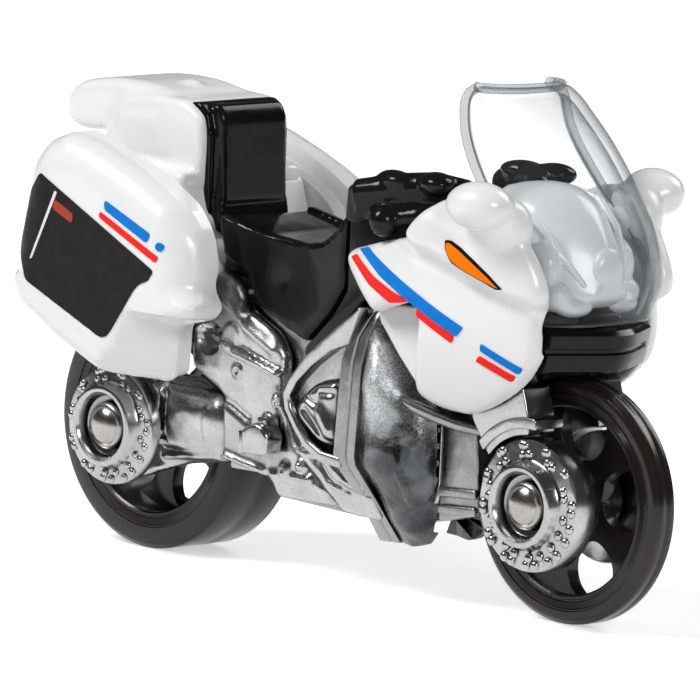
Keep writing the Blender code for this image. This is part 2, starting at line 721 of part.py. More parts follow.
running_gear()
engine_block()
for side_label, side_sign in SIDES:
    side_casting(side_label, side_sign)
    footrest(side_label, side_sign)
    swing_arm(side_label, side_sign)
    cylinder(side_label, side_sign)
    engine_guard(side_label, side_sign)
    cowl(side_label, side_sign)
    fork(side_label, side_sign)
    front_frame(side_label, side_sign)
    pannier(side_label, side_sign)
    fairing(side_label, side_sign)
    fairing_inner(side_label, side_sign)
    mirror(side_label, side_sign)
belly()
tail()
top_case()
seat()
backrest()
tank()
handlebar()
nose()
windscreen()
beak()
mudguard()
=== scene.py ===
"""Police touring motorcycle toy: the finish of every piece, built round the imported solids.

Shapes are drawn in millimetres, +X forward from the middle between the two axles, -Y the rider's
right, +Z up from the ground, and become metres when a piece is handed to the scene.
"""

import json
import math

import bmesh
import bpy
from mathutils import Matrix, Vector, noise


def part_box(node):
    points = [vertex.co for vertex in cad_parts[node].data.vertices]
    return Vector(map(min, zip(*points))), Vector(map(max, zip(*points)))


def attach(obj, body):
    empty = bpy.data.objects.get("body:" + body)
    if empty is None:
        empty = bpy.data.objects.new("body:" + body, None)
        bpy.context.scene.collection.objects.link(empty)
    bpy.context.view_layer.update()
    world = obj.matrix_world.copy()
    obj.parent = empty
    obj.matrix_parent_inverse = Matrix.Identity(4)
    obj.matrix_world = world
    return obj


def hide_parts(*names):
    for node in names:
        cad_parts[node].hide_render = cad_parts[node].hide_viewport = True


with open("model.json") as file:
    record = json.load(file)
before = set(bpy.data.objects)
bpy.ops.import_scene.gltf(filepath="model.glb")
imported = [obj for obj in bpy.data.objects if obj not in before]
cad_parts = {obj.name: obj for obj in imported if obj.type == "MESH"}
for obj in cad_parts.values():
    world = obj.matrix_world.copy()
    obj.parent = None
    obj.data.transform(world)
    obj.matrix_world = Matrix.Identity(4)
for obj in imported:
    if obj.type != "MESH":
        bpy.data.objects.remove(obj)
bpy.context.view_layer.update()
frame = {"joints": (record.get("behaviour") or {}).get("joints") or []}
SIDES = (("right", -1), ("left", 1))


# ---------------------------------------------------------------- wheels
# Tyre, rim and spokes are one glossy black moulding, narrow in front and wide behind.
# Each spins freely on the riveted pin through its hub.
MM = 0.001  # metres in a millimetre
TO_MM = 1000.0


class Wire:
    """A socket of a material; sums and products of wires add their Math nodes."""

    def __init__(self, tree, socket):
        self.tree = tree
        self.socket = socket

    def node(self, kind, settings, inputs, output=0):
        """Adds a node: its settings first, then the values or wires of its sockets."""
        made = self.tree.nodes.new(kind)
        for name, value in settings.items():
            setattr(made, name, value)
        for name, value in inputs.items():
            if isinstance(value, Wire):
                self.tree.links.new(value.socket, made.inputs[name])
            else:
                made.inputs[name].default_value = value
        return Wire(self.tree, made.outputs[output])

    def maths(self, operation, *others):
        return self.node("ShaderNodeMath", {"operation": operation}, dict(enumerate((self, *others))))

    def __add__(self, other):
        return self.maths("ADD", other)

    def __mul__(self, other):
        return self.maths("MULTIPLY", other)

    def __rsub__(self, other):
        return (self * -1.0) + other

    __radd__ = __add__
    __rmul__ = __mul__

    def cells(self, size, detail=2.0, roughness=0.5, distortion=0.0):
        """Smooth noise from 0 to 1 with features about size millimetres across."""
        return self.node("ShaderNodeTexNoise", {}, {
            "Vector": self, "Scale": TO_MM / size, "Detail": detail,
            "Roughness": roughness, "Distortion": distortion,
        })

    def spread(self, low, high, start=0.3, end=0.7):
        """The wire's stretch from start to end, laid out over low to high."""
        return self.node("ShaderNodeMapRange", {"interpolation_type": "SMOOTHSTEP"}, {
            "Value": self, "From Min": start, "From Max": end, "To Min": low, "To Max": high,
        })

    def bump(self, strength, depth):
        """A normal from this height, for a skin as rough as depth millimetres."""
        return self.node("ShaderNodeBump", {}, {
            "Strength": strength, "Distance": depth * MM, "Height": self,
        })

    def tint(self, first, second):
        """A colour between two, by the wire's value."""
        return self.node("ShaderNodeMix", {"data_type": "RGBA"}, {
            0: self, 6: first if isinstance(first, Wire) else (*first, 1.0),
            7: second if isinstance(second, Wire) else (*second, 1.0),
        }, output=2)


SOCKETS = {"ior": "IOR", "specular_ior_level": "Specular IOR Level"}


def finish(name, **constants):
    """A new material: the material, its shader and its Object coordinates."""
    material = bpy.data.materials.new(name)
    material.use_nodes = True
    tree = material.node_tree
    shader = tree.nodes["Principled BSDF"]
    for socket, value in constants.items():
        shader.inputs[SOCKETS.get(socket, socket.replace("_", " ").title())].default_value = value
    place = tree.nodes.new("ShaderNodeTexCoord")
    return material, shader, Wire(tree, place.outputs["Object"])


def feed(shader, **wires):
    for socket, wire in wires.items():
        wire.tree.links.new(wire.socket, shader.inputs[socket.replace("_", " ").title()])


def moulded(name, colour, drift, rough, size, depth, shine=0.5):
    """Moulded plastic: its colour drifts a little and the skin is faintly wavy, with a fine grain."""
    material, shader, place = finish(
        name, coat_weight=0.4 * shine, coat_roughness=0.06, specular_ior_level=shine
    )
    wave = place.cells(size * 0.45, 1.0)
    grain = place.cells(0.12, 2.0)
    feed(
        shader,
        base_color=place.cells(size, 1.0).spread(0.0, 1.0, 0.2, 0.8).tint(colour, drift),
        roughness=place.cells(size * 0.5, 1.0).spread(rough[0], rough[1], 0.2, 0.8),
        normal=(wave + grain * 0.04).bump(0.35, depth),
    )
    return material


def turned(profile, closed=True, steps=96):
    """A profile of (radius, distance out along Y), spun round the Y axis."""
    shape = bmesh.new()
    verts = [shape.verts.new((r, y, 0.0)) for r, y in profile]
    ends = verts[1:] + verts[:1] if closed else verts[1:]
    edges = [shape.edges.new(pair) for pair in zip(verts, ends)]
    bmesh.ops.spin(
        shape, geom=verts + edges, cent=(0, 0, 0), axis=(0, 1, 0),
        angle=math.tau, steps=steps, use_merge=True,
    )
    bmesh.ops.remove_doubles(shape, verts=shape.verts, dist=1e-4)
    bmesh.ops.recalc_face_normals(shape, faces=shape.faces)
    return shape


def rounded(points, radius, steps=4):
    """The closed outline with every corner rounded to at most the radius."""
    result = []
    for i, point in enumerate(points):
        here = Vector(point)
        back = Vector(points[i - 1]) - here
        ahead = Vector(points[(i + 1) % len(points)]) - here
        reach = min(radius, 0.45 * back.length, 0.45 * ahead.length)
        start = here + back.normalized() * reach
        end = here + ahead.normalized() * reach
        for k in range(steps + 1):
            t = k / steps
            result.append(tuple((1 - t) ** 2 * start + 2 * t * (1 - t) * here + t * t * end))
    return result


def points_of(geometry):
    return [v for v in geometry if isinstance(v, bmesh.types.BMVert)]


def thicken(shape, faces, depth):
    """Gives flat faces a thickness along Y."""
    grown = bmesh.ops.extrude_face_region(shape, geom=faces)["geom"]
    bmesh.ops.translate(shape, vec=(0, depth, 0), verts=points_of(grown))
    bmesh.ops.recalc_face_normals(shape, faces=shape.faces)


def round_off(shape, degrees, offset, rings):
    """Rounds every edge that turns by more than the angle."""
    corners = [e for e in shape.edges if e.calc_face_angle(0.0) > math.radians(degrees)]
    bmesh.ops.bevel(
        shape, geom=corners, offset=offset, offset_type="OFFSET", segments=rings,
        profile=0.5, affect="EDGES", material=-1, clamp_overlap=True,
    )


def slab(outline, near, far, edge=0.0, rings=2):
    """An outline in the XZ plane with thickness along Y and its edges rounded."""
    shape = bmesh.new()
    face = shape.faces.new([shape.verts.new((x, near, z)) for x, z in outline])
    thicken(shape, [face], far - near)
    if edge:
        round_off(shape, 40, edge, rings)
    return shape


def plate(points, corner, *thickness):
    """A slab whose outline has rounded corners."""
    return slab(rounded(points, corner), *thickness)


def gather(shape, other, *moves):
    """Adds a copy of the other shape for each move, and uses the other one up."""
    loose = bpy.data.meshes.new("loose")
    other.to_mesh(loose)
    other.free()
    for move in moves or (Matrix(),):
        before = len(shape.verts)
        shape.from_mesh(loose)
        shape.verts.ensure_lookup_table()
        bmesh.ops.transform(shape, matrix=move, verts=shape.verts[before:])
    bpy.data.meshes.remove(loose)
    return shape


def hand_over(shape, name, material, centre=(0.0, 0.0, 0.0), sharp=38.0):
    """Puts a shape drawn in millimetres into the scene, in metres, with its place in its mesh."""
    bmesh.ops.translate(shape, vec=centre, verts=shape.verts)
    bmesh.ops.scale(shape, vec=(MM, MM, MM), verts=shape.verts)
    mesh = bpy.data.meshes.new(name)
    shape.to_mesh(mesh)
    shape.free()
    mesh.materials.append(material)
    mesh.shade_smooth()
    mesh.set_sharp_from_angle(angle=math.radians(sharp))
    piece = bpy.data.objects.new(name, mesh)
    bpy.context.scene.collection.objects.link(piece)
    return piece


def about_y(degrees):
    return Matrix.Rotation(math.radians(degrees), 4, "Y")


axle_at = {j["child"]: Vector(j["pos_m"]) * TO_MM for j in frame["joints"]}
middle = Vector(((axle_at["front_wheel"].x + axle_at["rear_wheel"].x) / 2, 0.0, 0.0))
wheel_black = moulded(
    "wheel_black", (0.012, 0.0105, 0.0095), (0.02, 0.0155, 0.013), (0.18, 0.28), 5.0, 0.03, 0.3
)
SPOKES = 5
SPOKE_TURN = 65.0  # the first window's middle lies this far below +X

for wheel, half, hub_half in (("front_wheel", 1.25, 3.05), ("rear_wheel", 3.6, 3.8)):
    low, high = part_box(wheel)
    radius = (high[2] - low[2]) * TO_MM / 2
    lip = 7.55  # radius of the rim's inner edge
    upper = [
        (lip, 0.3), (lip, half - 0.42), (lip + 0.05, half - 0.24), (lip + 0.2, half - 0.12),
        (lip + 0.35, half - 0.13), (lip + 0.42, half - 0.2), (lip + 0.52, half - 0.2),
        (lip + 0.6, half - 0.08), (lip + 1.1, half - 0.02), (lip + 1.2, half - 0.12),
        (lip + 1.3, half - 0.12), (lip + 1.38, half), (lip + 1.7, half),
        (radius - 0.5, half - 0.02), (radius - 0.34, half - 0.1), (radius - 0.24, half - 0.24),
        (radius - 0.06, half - 0.36), (radius, half - 0.55), (radius, half * 0.2),
        (radius - 0.05, half * 0.1),
    ]
    shape = turned(upper + [(r, -y) for r, y in reversed(upper)], steps=144)
    hub = [
        (1.2, hub_half), (2.25, hub_half), (2.6, hub_half - 0.35), (2.68, 1.3), (2.8, 1.0),
        (3.05, 0.78), (3.4, 0.66),
    ]
    gather(shape, turned(hub + [(r, -y) for r, y in reversed(hub)], steps=64))
    arm = [
        (2.3, 2.2), (3.3, 1.7), (3.9, 1.12), (4.6, 1.0), (5.4, 1.08), (6.1, 1.36), (6.7, 1.85), (7.1, 2.5),
        (7.35, 3.3), (7.7, 3.7),
    ]
    spoke = slab(rounded(arm + [(x, -z) for x, z in reversed(arm)], 0.4), -0.65, 0.65, 0.42, 4)
    gather(shape, spoke, *[about_y(SPOKE_TURN + 360.0 * (k + 0.5) / SPOKES) for k in range(SPOKES)])
    piece = hand_over(shape, wheel + "_moulding", wheel_black, axle_at[wheel], 30.0)
    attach(piece, wheel)
    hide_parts(wheel)


# ---------------------------------------------------------------- brake discs and rivets
# Bare zinc castings: a thick disc ringed with two rows of raised dots, and a cup in its middle
# for the spun head of the steel pin.
def cast(name, dark, pale, rough, swell, depth, sparkle):
    """Bare die-cast zinc: bright and lumpy, with fine grain; ambient occlusion darkens its colour in hollows
    and creases, which is painted shade.
    """
    material, shader, place = finish(name, metallic=1.0)
    patch = place.cells(2.6, 2.0, 0.5, 0.4)
    grain = place.cells(0.11, 2.0, 0.6)
    soft = place.cells(swell, 1.0, 0.4, 0.2)
    # Ambient occlusion darkens the colour in hollows and creases: painted shade.
    crevice_shade = place.node("ShaderNodeAmbientOcclusion", {"samples": 6}, {"Distance": 0.0016}, output=1)
    tone_and_painted_shade = (patch * 0.4 + grain * 0.6).spread(0.7, 1.0, 0.3, 0.7) * crevice_shade.spread(0.2, 1.0, 0.2, 0.85)
    feed(
        shader,
        base_color=tone_and_painted_shade.tint(dark, pale),
        roughness=(patch * 0.5 + grain * 0.5).spread(rough[1], rough[0], 0.3, 0.7),
        normal=(soft + grain * sparkle).bump(0.8, depth),
    )
    return material


# Each dark colour shows mostly in hollows and creases, where ambient occlusion paints shade into the colour;
# the pale one is the bare zinc.
zinc_smooth = cast("zinc_smooth", (0.07, 0.075, 0.075), (0.5, 0.515, 0.51), (0.17, 0.27), 1.6, 0.05, 0.06)
zinc_rough = cast("zinc_rough", (0.06, 0.065, 0.065), (0.52, 0.535, 0.53), (0.22, 0.36), 1.5, 0.06, 0.12)
zinc_dull = cast("zinc_dull", (0.05, 0.05, 0.05), (0.36, 0.365, 0.36), (0.24, 0.36), 1.4, 0.05, 0.14)
rivet_steel = cast("rivet_steel", (0.12, 0.11, 0.10), (0.46, 0.44, 0.42), (0.18, 0.3), 1.6, 0.08, 0.1)


def dots(rows, face, bump=0.32):
    """Rings of low round dots on a disc's face."""
    shape = bmesh.new()
    dot = bmesh.new()
    bmesh.ops.create_icosphere(dot, subdivisions=2, radius=bump)
    bmesh.ops.scale(dot, vec=(1.0, 0.7, 1.0), verts=dot.verts)
    moves = []
    for radius, count, turn in rows:
        for k in range(count):
            wander = 0.09 * math.sin(7.3 * k + radius)
            angle = 360.0 * (k + turn) / count + 9.0 * math.sin(3.1 * k)
            moves.append(about_y(angle) @ Matrix.Translation((radius + wander, face, 0.0)))
    return gather(shape, dot, *moves)


PIN_R = 1.15
CUP_DEPTH = 1.15

for wheel, disc_r, inner, face, rows in (
    ("front", 5.4, 3.35, 5.65, ((4.9, 24, 0.0), (4.15, 19, 0.5))),
    ("rear", 4.95, 7.05, 8.25, ((4.5, 22, 0.0), (3.9, 17, 0.5))),
):
    hub = axle_at[wheel + "_wheel"]
    cup = 6.75 if wheel == "front" else 9.4
    seat = cup - CUP_DEPTH + 0.25
    for label, side in SIDES:
        profile = [
            (PIN_R, cup - CUP_DEPTH), (2.3, cup - CUP_DEPTH), (2.48, cup - 1.05), (2.62, cup - 0.6),
            (2.74, cup - 0.15),
            (2.86, cup - 0.02), (3.0, cup), (3.2, cup - 0.01), (3.34, cup - 0.08), (3.42, cup - 0.3),
            (3.55, face + 0.25), (3.7, face + 0.06), (3.85, face), (disc_r - 0.3, face),
            (disc_r - 0.1, face - 0.08), (disc_r, face - 0.3), (disc_r, inner + 0.1),
            (disc_r - 0.1, inner), (PIN_R, inner),
        ]
        shape = gather(turned(profile), dots(rows, face, 0.44 if wheel == "front" else 0.36))
        bmesh.ops.scale(shape, vec=(1, side, 1), verts=shape.verts)
        bmesh.ops.recalc_face_normals(shape, faces=shape.faces)
        piece = hand_over(shape, f"{wheel}_brake_{label}", zinc_smooth, hub)
        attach(piece, "chassis")
        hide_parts(f"{wheel}_disc_{label}")
    dome = [
        (0.0, seat + 1.0), (0.35, seat + 0.98), (0.8, seat + 0.9), (1.2, seat + 0.73), (1.5, seat + 0.55),
        (1.62, seat + 0.4), (1.72, seat + 0.38), (1.9, seat + 0.24), (1.98, seat + 0.1), (1.95, seat),
        (0.9, seat),
    ]
    piece = hand_over(
        turned(dome + [(r, -y) for r, y in reversed(dome)], closed=False), f"{wheel}_pin", rivet_steel, hub
    )
    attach(piece, "chassis")
    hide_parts(f"{wheel}_axle")


# ---------------------------------------------------------------- engine and frame
# One bare zinc casting seen from each side: crankcase, keel, gearbox side with the frame rail,
# screw heads and footrest. The plates beside the front tyre have a rolled rim along the top.
def clamp(value):
    t = max(0.0, min(1.0, value))
    return t * t * (3.0 - 2.0 * t)


def off_line(x, z, path, loop=False):
    """Distance from a point to a path of straight stretches."""
    best = 1e9
    here = Vector((x, z))
    stops = [Vector(p) for p in path]
    for a, b in zip(stops, stops[1:] + (stops[:1] if loop else [])):
        along = b - a
        t = max(0.0, min(1.0, (here - a).dot(along) / along.length_squared))
        best = min(best, (here - a - along * t).length)
    return best


def cut_in_cells(shape, step):
    """Cuts a flat shape along a square grid in the XZ plane."""
    for axis in (0, 2):
        places = [v.co[axis] for v in shape.verts]
        normal = Vector((axis == 0, 0, axis == 2))
        for k in range(math.ceil(min(places) / step), math.ceil(max(places) / step)):
            bmesh.ops.bisect_plane(
                shape, geom=shape.verts[:] + shape.edges[:] + shape.faces[:], dist=1e-5,
                plane_co=normal * k * step, plane_no=normal,
            )


def close_back(shape, place):
    """Draws the rim of a skin back to where place(point) puts it, and closes the skin there."""
    rim = [e for e in shape.edges if e.is_boundary]
    for vert in points_of(bmesh.ops.extrude_edge_only(shape, edges=rim)["geom"]):
        vert.co = place(vert.co)
    bmesh.ops.holes_fill(shape, edges=[e for e in shape.edges if e.is_boundary], sides=0)
    bmesh.ops.triangulate(shape, faces=[f for f in shape.faces if len(f.verts) > 4])
    bmesh.ops.recalc_face_normals(shape, faces=shape.faces)


def relief(outline, height, inner, side, step=0.45, hems=(0.12, 0.2, 0.3, 0.4)):
    """A plate whose outer face stands out by height(x, z, distance from its edge), flat at the back."""
    shape = bmesh.new()
    face = shape.faces.new([shape.verts.new((x, 0, z)) for x, z in outline])
    for hem in hems:
        bmesh.ops.inset_region(shape, faces=[face], thickness=hem, use_even_offset=False, use_boundary=True)
    cut_in_cells(shape, step)
    for vert in shape.verts:
        x, z = vert.co.x, vert.co.z
        vert.co.y = side * height(x, z, off_line(x, z, outline, loop=True))
    close_back(shape, lambda point: (point.x, side * inner, point.z))
    return shape


def lumps(x, z, size, depth):
    return depth * noise.noise(Vector((x / size, z / size, 3.7)))


def edge_fall(d, radius):
    """How far a rounded edge of that radius has dropped at a distance d from the outline."""
    t = max(0.0, 1.0 - d / radius)
    return radius * (1.0 - math.sqrt(max(0.0, 1.0 - t * t)))


def ridge(x, z, path, width, height):
    return height * math.exp(-((off_line(x, z, path) / width) ** 2))


def boss(x, z, centre, radius, height):
    return height * clamp((radius - math.hypot(x - centre[0], z - centre[1])) / 0.35)


case_rails = (
    # route, width, height
    ([(-14.4, 19.6), (-10.8, 18.4), (-7.0, 17.6), (-3.3, 16.5)], 0.3, 0.28),
    ([(-15.2, 15.6), (-13.4, 14.8), (-10.4, 13.9), (-8.5, 13.0)], 0.4, -0.3),
    ([(-13.0, 23.0), (-10.8, 22.0), (-9.2, 20.5), (-5.8, 18.9)], 0.45, 0.3),
    ([(-11.2, 9.6), (-9.0, 9.2), (-6.6, 8.8)], 0.35, 0.35),
    ([(-5.4, 8.7), (-2.2, 8.8), (1.0, 8.1)], 0.35, 0.25),
    ([(-4.6, 15.8), (-4.3, 14.2), (-3.0, 12.2), (0.2, 9.9)], 0.35, 0.3),
)
case_bosses = (
    # place, radius, height
    ((-10.6, 19.6), 1.2, 0.3), ((-9.5, 16.8), 0.75, 0.3), ((-4.9, 14.8), 0.65, 0.3),
    ((-3.9, 9.4), 0.75, 0.45), ((-2.1, 9.9), 0.55, 0.5), ((-1.1, 9.0), 0.5, 0.35),
    ((-6.0, 13.0), 0.9, 0.3), ((-5.2, 11.2), 0.5, 0.3), ((-9.2, 22.1), 0.8, 0.35),
)


def case_height(x, z, d):
    across = (z - (18.0 - 0.28 * (x + 10.6))) / 3.2
    rail = 0.35 * clamp(1.0 - across * across) if across < 0.3 else 0.0
    y = 6.35 - edge_fall(d, 0.7) + rail + lumps(x, z, 3.0, 0.08)
    y += sum(ridge(x, z, *line) for line in case_rails)
    y += sum(boss(x, z, *stud) for stud in case_bosses)
    for place in ((-9.5, 16.8), (-4.9, 14.8)):
        y -= 0.35 * clamp((0.34 - math.hypot(x - place[0], z - place[1])) / 0.2)
    y -= 0.8 * clamp((1.0 - math.hypot((x + 13.2) / 1.7, (z - 19.0) / 1.4)) / 0.4)
    rough = clamp((0.9 - off_line(x, z, [(-9.2, 21.6), (-5.4, 19.8)])) / 0.8)
    return y + rough * lumps(x, z, 0.7, 0.05) - 0.4 * clamp((9.0 - z) / 1.6)


case_outline = [
    (-14.8, 21.4), (-13.6, 22.8), (-12.9, 24.9), (-10.6, 24.2), (-9.4, 22.0), (-5.8, 20.3), (-4.6, 18.6),
    (-4.8, 15.4), (-3.4, 12.0),
    (0.0, 9.6), (1.5, 7.0), (-5.6, 6.9), (-6.0, 8.4), (-11.4, 9.2), (-11.8, 14.6), (-15.4, 16.3),
]
sump_outline = [(-2.6, 11.4), (0.4, 9.3), (2.4, 6.7), (6.6, 6.5), (6.2, 11.6), (0.4, 12.0)]


def sump_height(x, z, d):
    groove = ridge(x, z, [(0.6, 10.9), (2.0, 9.4), (4.4, 8.6), (6.4, 8.7)], 0.22, 0.35)
    groove += ridge(x, z, [(2.2, 10.9), (3.4, 10.0), (5.0, 9.6)], 0.2, 0.3)
    return 7.2 - edge_fall(d, 0.6) - groove - 1.2 * clamp((9.6 - z) / 3.4) + lumps(x, z, 1.0, 0.1)


CORE_SIDE = 5.15  # how far out the side castings start


def melt(piece, voxel, rounds):
    """Fuses a piece's overlapping bodies into one skin and softens the joints between them."""
    fuse = piece.modifiers.new("fuse", "REMESH")
    fuse.mode = "VOXEL"
    fuse.voxel_size = voxel * MM
    fuse.use_smooth_shade = True
    ease = piece.modifiers.new("ease", "SMOOTH")
    ease.factor = 0.5
    ease.iterations = rounds


def tube(route, radii, sides=20):
    """A round bar through the points, with its own radius at each, closed at both ends."""
    shape = bmesh.new()
    points = [Vector(p) for p in route]
    rings = []
    for i, point in enumerate(points):
        along = points[min(i + 1, len(points) - 1)] - points[max(i - 1, 0)]
        turn = along.to_track_quat("Z", "Y").to_matrix().to_4x4()
        made = bmesh.ops.create_circle(
            shape, segments=sides, radius=radii[i], matrix=Matrix.Translation(point) @ turn, cap_ends=False
        )
        rings.append([e for v in made["verts"] for e in v.link_edges])
    for near, far in zip(rings, rings[1:]):
        bmesh.ops.bridge_loops(shape, edges=list(dict.fromkeys(near + far)))
    bmesh.ops.holes_fill(shape, edges=[e for e in shape.edges if e.is_boundary], sides=0)
    bmesh.ops.remove_doubles(shape, verts=shape.verts, dist=1e-4)
    bmesh.ops.recalc_face_normals(shape, faces=shape.faces)
    return shape


for label, side in SIDES:
    shape = relief(rounded(case_outline, 0.8), case_height, CORE_SIDE, side, 0.2)
    gather(shape, relief(rounded(sump_outline, 0.5), sump_height, 5.2, side, 0.35))
    piece = hand_over(shape, f"gearbox_side_{label}", zinc_rough, middle, 50.0)
    melt(piece, 0.13, 4)
    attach(piece, "chassis")
    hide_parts(f"side_casting_{label}")

    peg = plate(
        [(-6.9, 12.5), (-5.6, 13.2), (-4.5, 13.0), (-3.9, 12.2), (-4.1, 10.7), (-6.8, 10.5)], 0.4,
        side * 6.6, side * 8.7, 0.35, 3,
    )
    clamp_foot = [(-8.1, 12.2), (-6.4, 12.4), (-6.3, 10.6), (-8.0, 10.2)]
    gather(peg, plate(clamp_foot, 0.3, side * 6.6, side * 7.9, 0.25, 2))
    hinge_lug = [(-5.9, 13.6), (-4.8, 13.7), (-4.6, 12.6), (-5.8, 12.4)]
    gather(peg, plate(hinge_lug, 0.3, side * 6.4, side * 8.0, 0.3, 2))
    piece = hand_over(peg, f"footpeg_{label}", zinc_smooth, middle)
    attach(piece, "chassis")
    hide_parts(f"footrest_{label}")

    web = [(12.0, 15.9), (15.9, 15.3), (16.5, 8.2), (12.0, 7.2)]
    shape = plate(web, 0.4, side * 1.85, side * 4.75, 0.45, 4)
    for z in (7.9, 9.3):
        rib = [(12.2, z), (16.4, z + 0.25), (16.4, z + 1.0), (12.2, z + 0.75)]
        gather(shape, plate(rib, 0.25, side * 4.4, side * 5.15, 0.25, 3))
    rim = [(9.4, 7.3, 17.1), (10.8, 6.7, 16.5), (12.3, 5.9, 15.9), (14.2, 5.0, 15.35), (16.7, 4.5, 15.1)]
    gather(shape, tube([(x, side * y, z) for x, y, z in rim], [0.3, 0.5, 0.55, 0.55, 0.45]))
    piece = hand_over(shape, f"frame_plate_{label}", zinc_dull, middle)
    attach(piece, "chassis")
    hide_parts(f"front_frame_{label}")


def arc(centre, radius, start, end, count):
    turn = [math.radians(start + (end - start) * i / count) for i in range(count + 1)]
    return [(centre[0] + radius * math.cos(a), centre[1] + radius * math.sin(a)) for a in turn]


rear_centre = (axle_at["rear_wheel"].x - middle.x, axle_at["rear_wheel"].z)
front_centre = (axle_at["front_wheel"].x - middle.x, axle_at["front_wheel"].z)
block = arc(rear_centre, 11.2, -12, 62, 14) + [
    (-13.4, 22.4), (-5.0, 22.4), (3.0, 23.2), (11.4, 22.4), (12.2, 19.0), (12.2, 8.6),
]
shape = plate(block, 0.4, -4.9, 4.9, 0.3, 3)
for z in (10.2, 11.6, 13.0, 14.4):
    fin = [(1.0, z), (12.0, z), (12.0, z + 0.6), (1.0, z + 0.6)]
    for side in (-1, 1):
        gather(shape, plate(fin, 0.2, side * 4.6, side * 5.1, 0.15))
piece = hand_over(shape, "crankcase", zinc_rough, middle)
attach(piece, "chassis")
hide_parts("engine_block")

keel = [(-7.8, 8.3), (-7.8, 6.4), (2.0, 6.0), (9.0, 6.4), (12.2, 7.4), (12.2, 8.3)]
shape = plate(keel, 0.5, -3.4, 3.4, 0.5, 3)
for side in (-1, 1):
    for z in (6.7, 7.4):
        runner = [
            (-7.0, z), (1.6, z - 0.2), (11.6, z + 0.5), (11.6, z + 0.8), (1.6, z + 0.15), (-7.0, z + 0.3),
        ]
        gather(shape, plate(runner, 0.12, side * 3.2, side * 3.6, 0.1))
piece = hand_over(shape, "keel", zinc_dull, middle)
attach(piece, "chassis")
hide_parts("belly")


# ---------------------------------------------------------------- swing arms
# Zinc arms, cast with the engine, that end in a round boss behind the rear discs. A drive barrel
# with a round nose lies along each, with cast ribs and a bolt head.
arm_outline = arc(rear_centre, 4.5, 55, 300, 24) + [
    (rear_centre[0] + x, z) for x, z in ((6.0, 8.0), (10.2, 8.7), (10.2, 14.2), (7.4, 15.4), (3.4, 15.3))
]
arm_ribs = (
    # route, width, height
    ([(-19.1, 8.4), (-16.3, 8.8), (-12.6, 9.1)], 0.28, 0.7),
    ([(-19.3, 14.6), (-19.7, 12.6), (-19.4, 10.6)], 0.22, 0.5),
    ([(-18.3, 14.5), (-18.8, 12.6), (-18.4, 10.6)], 0.22, 0.45),
    ([(-20.2, 14.6), (-19.2, 13.6), (-19.3, 12.0), (-18.9, 9.9)], 0.3, 0.45),
)


def arm_height(x, z, d):
    across = min(1.0, abs(z - 11.9) / 2.75)
    along = clamp((x + 19.0) / 1.2)
    barrel = 1.5 * math.sqrt(1.0 - across * across) * along
    y = 5.1 - edge_fall(d, 0.5) + barrel + lumps(x, z, 1.1, 0.06)
    y += sum(ridge(x, z, *rib) for rib in arm_ribs)
    return min(6.9, y + boss(x, z, (-18.9, 9.7), 0.6, 0.9) + boss(x, z, (-20.1, 14.2), 0.5, 0.5))


for label, side in SIDES:
    shape = relief(rounded(arm_outline, 0.3), arm_height, 4.1, side, 0.22, (0.1, 0.15, 0.2))
    nose = bmesh.new()
    bmesh.ops.create_uvsphere(nose, u_segments=40, v_segments=24, radius=1.0)
    nose_size = Matrix.Diagonal((2.15, 1.6, 2.75, 1.0))
    gather(shape, nose, Matrix.Translation((-12.9, side * 5.1, 11.9)) @ nose_size)
    piece = hand_over(shape, f"final_drive_{label}", zinc_rough, middle, 50.0)
    melt(piece, 0.13, 3)
    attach(piece, "chassis")
    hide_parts(f"swing_arm_{label}")


# ---------------------------------------------------------------- cylinder heads and engine guard
# A rounded head with two curved casting lines shows through a D-shaped guard, which runs into
# the lower cowl over a grooved strap. All are cast in one, sparkling where the die was rough.
head_outline = [(-1.6, 15.4), (0.6, 17.4), (3.6, 18.0), (3.9, 12.2), (1.5, 12.0), (-1.4, 13.8)]


def head_height(x, z, d):
    y = 8.5 - 1.3 * edge_fall(d, 1.2)
    y -= ridge(x, z, [(0.0, 15.0), (1.2, 13.9), (2.2, 12.9), (3.6, 12.6)], 0.26, 0.28)
    y -= ridge(x, z, [(0.4, 15.9), (1.2, 15.6), (1.5, 16.6), (2.8, 16.7)], 0.26, 0.28)
    return y + ridge(x, z, [(1.9, 14.9), (2.9, 13.6)], 0.6, 0.3) + lumps(x, z, 2.0, 0.05)


guard_pairs = (
    # outer edge, inner edge
    ((6.2, 24.2), (5.0, 21.0)), ((3.4, 22.1), (3.0, 20.2)), ((0.2, 19.5), (0.9, 18.7)),
    ((-1.6, 17.3), (-0.7, 17.2)),
    ((-2.2, 16.0), (-1.45, 16.0)), ((-1.9, 14.8), (-1.2, 15.0)), ((-0.9, 13.4), (-0.2, 13.7)),
    ((0.4, 12.0), (0.9, 12.6)), ((2.2, 11.0), (2.4, 11.9)), ((4.6, 10.8), (4.6, 11.7)),
)


def strip(pairs, near, far, edge):
    """A flat band between two routes, with thickness along Y and rounded edges."""
    shape = bmesh.new()
    rows = [[shape.verts.new((x, near, z)) for x, z in pair] for pair in pairs]
    faces = [shape.faces.new((a[0], b[0], b[1], a[1])) for a, b in zip(rows, rows[1:])]
    thicken(shape, faces, far - near)
    round_off(shape, 50, edge, 3)
    return shape


def lofted(rings, creases=()):
    """Skin over rings of points, closed at both ends; creases names columns that stay sharp."""
    shape = bmesh.new()
    sharp = shape.edges.layers.float.new("crease_edge")
    loops = [[shape.verts.new(point) for point in ring] for ring in rings]
    for near, far in zip(loops, loops[1:]):
        for i, vert in enumerate(near):
            j = (i + 1) % len(near)
            shape.faces.new((vert, near[j], far[j], far[i]))
            if i in creases:
                shape.edges.get((vert, far[i]))[sharp] = creases[i]
    for loop in (loops[0], loops[-1]):
        for edge in shape.faces.new(loop).edges:
            edge[sharp] = 0.8
    bmesh.ops.recalc_face_normals(shape, faces=shape.faces)
    return shape


def soften(piece, levels):
    smooth = piece.modifiers.new("soft", "SUBSURF")
    smooth.levels = levels
    smooth.render_levels = levels


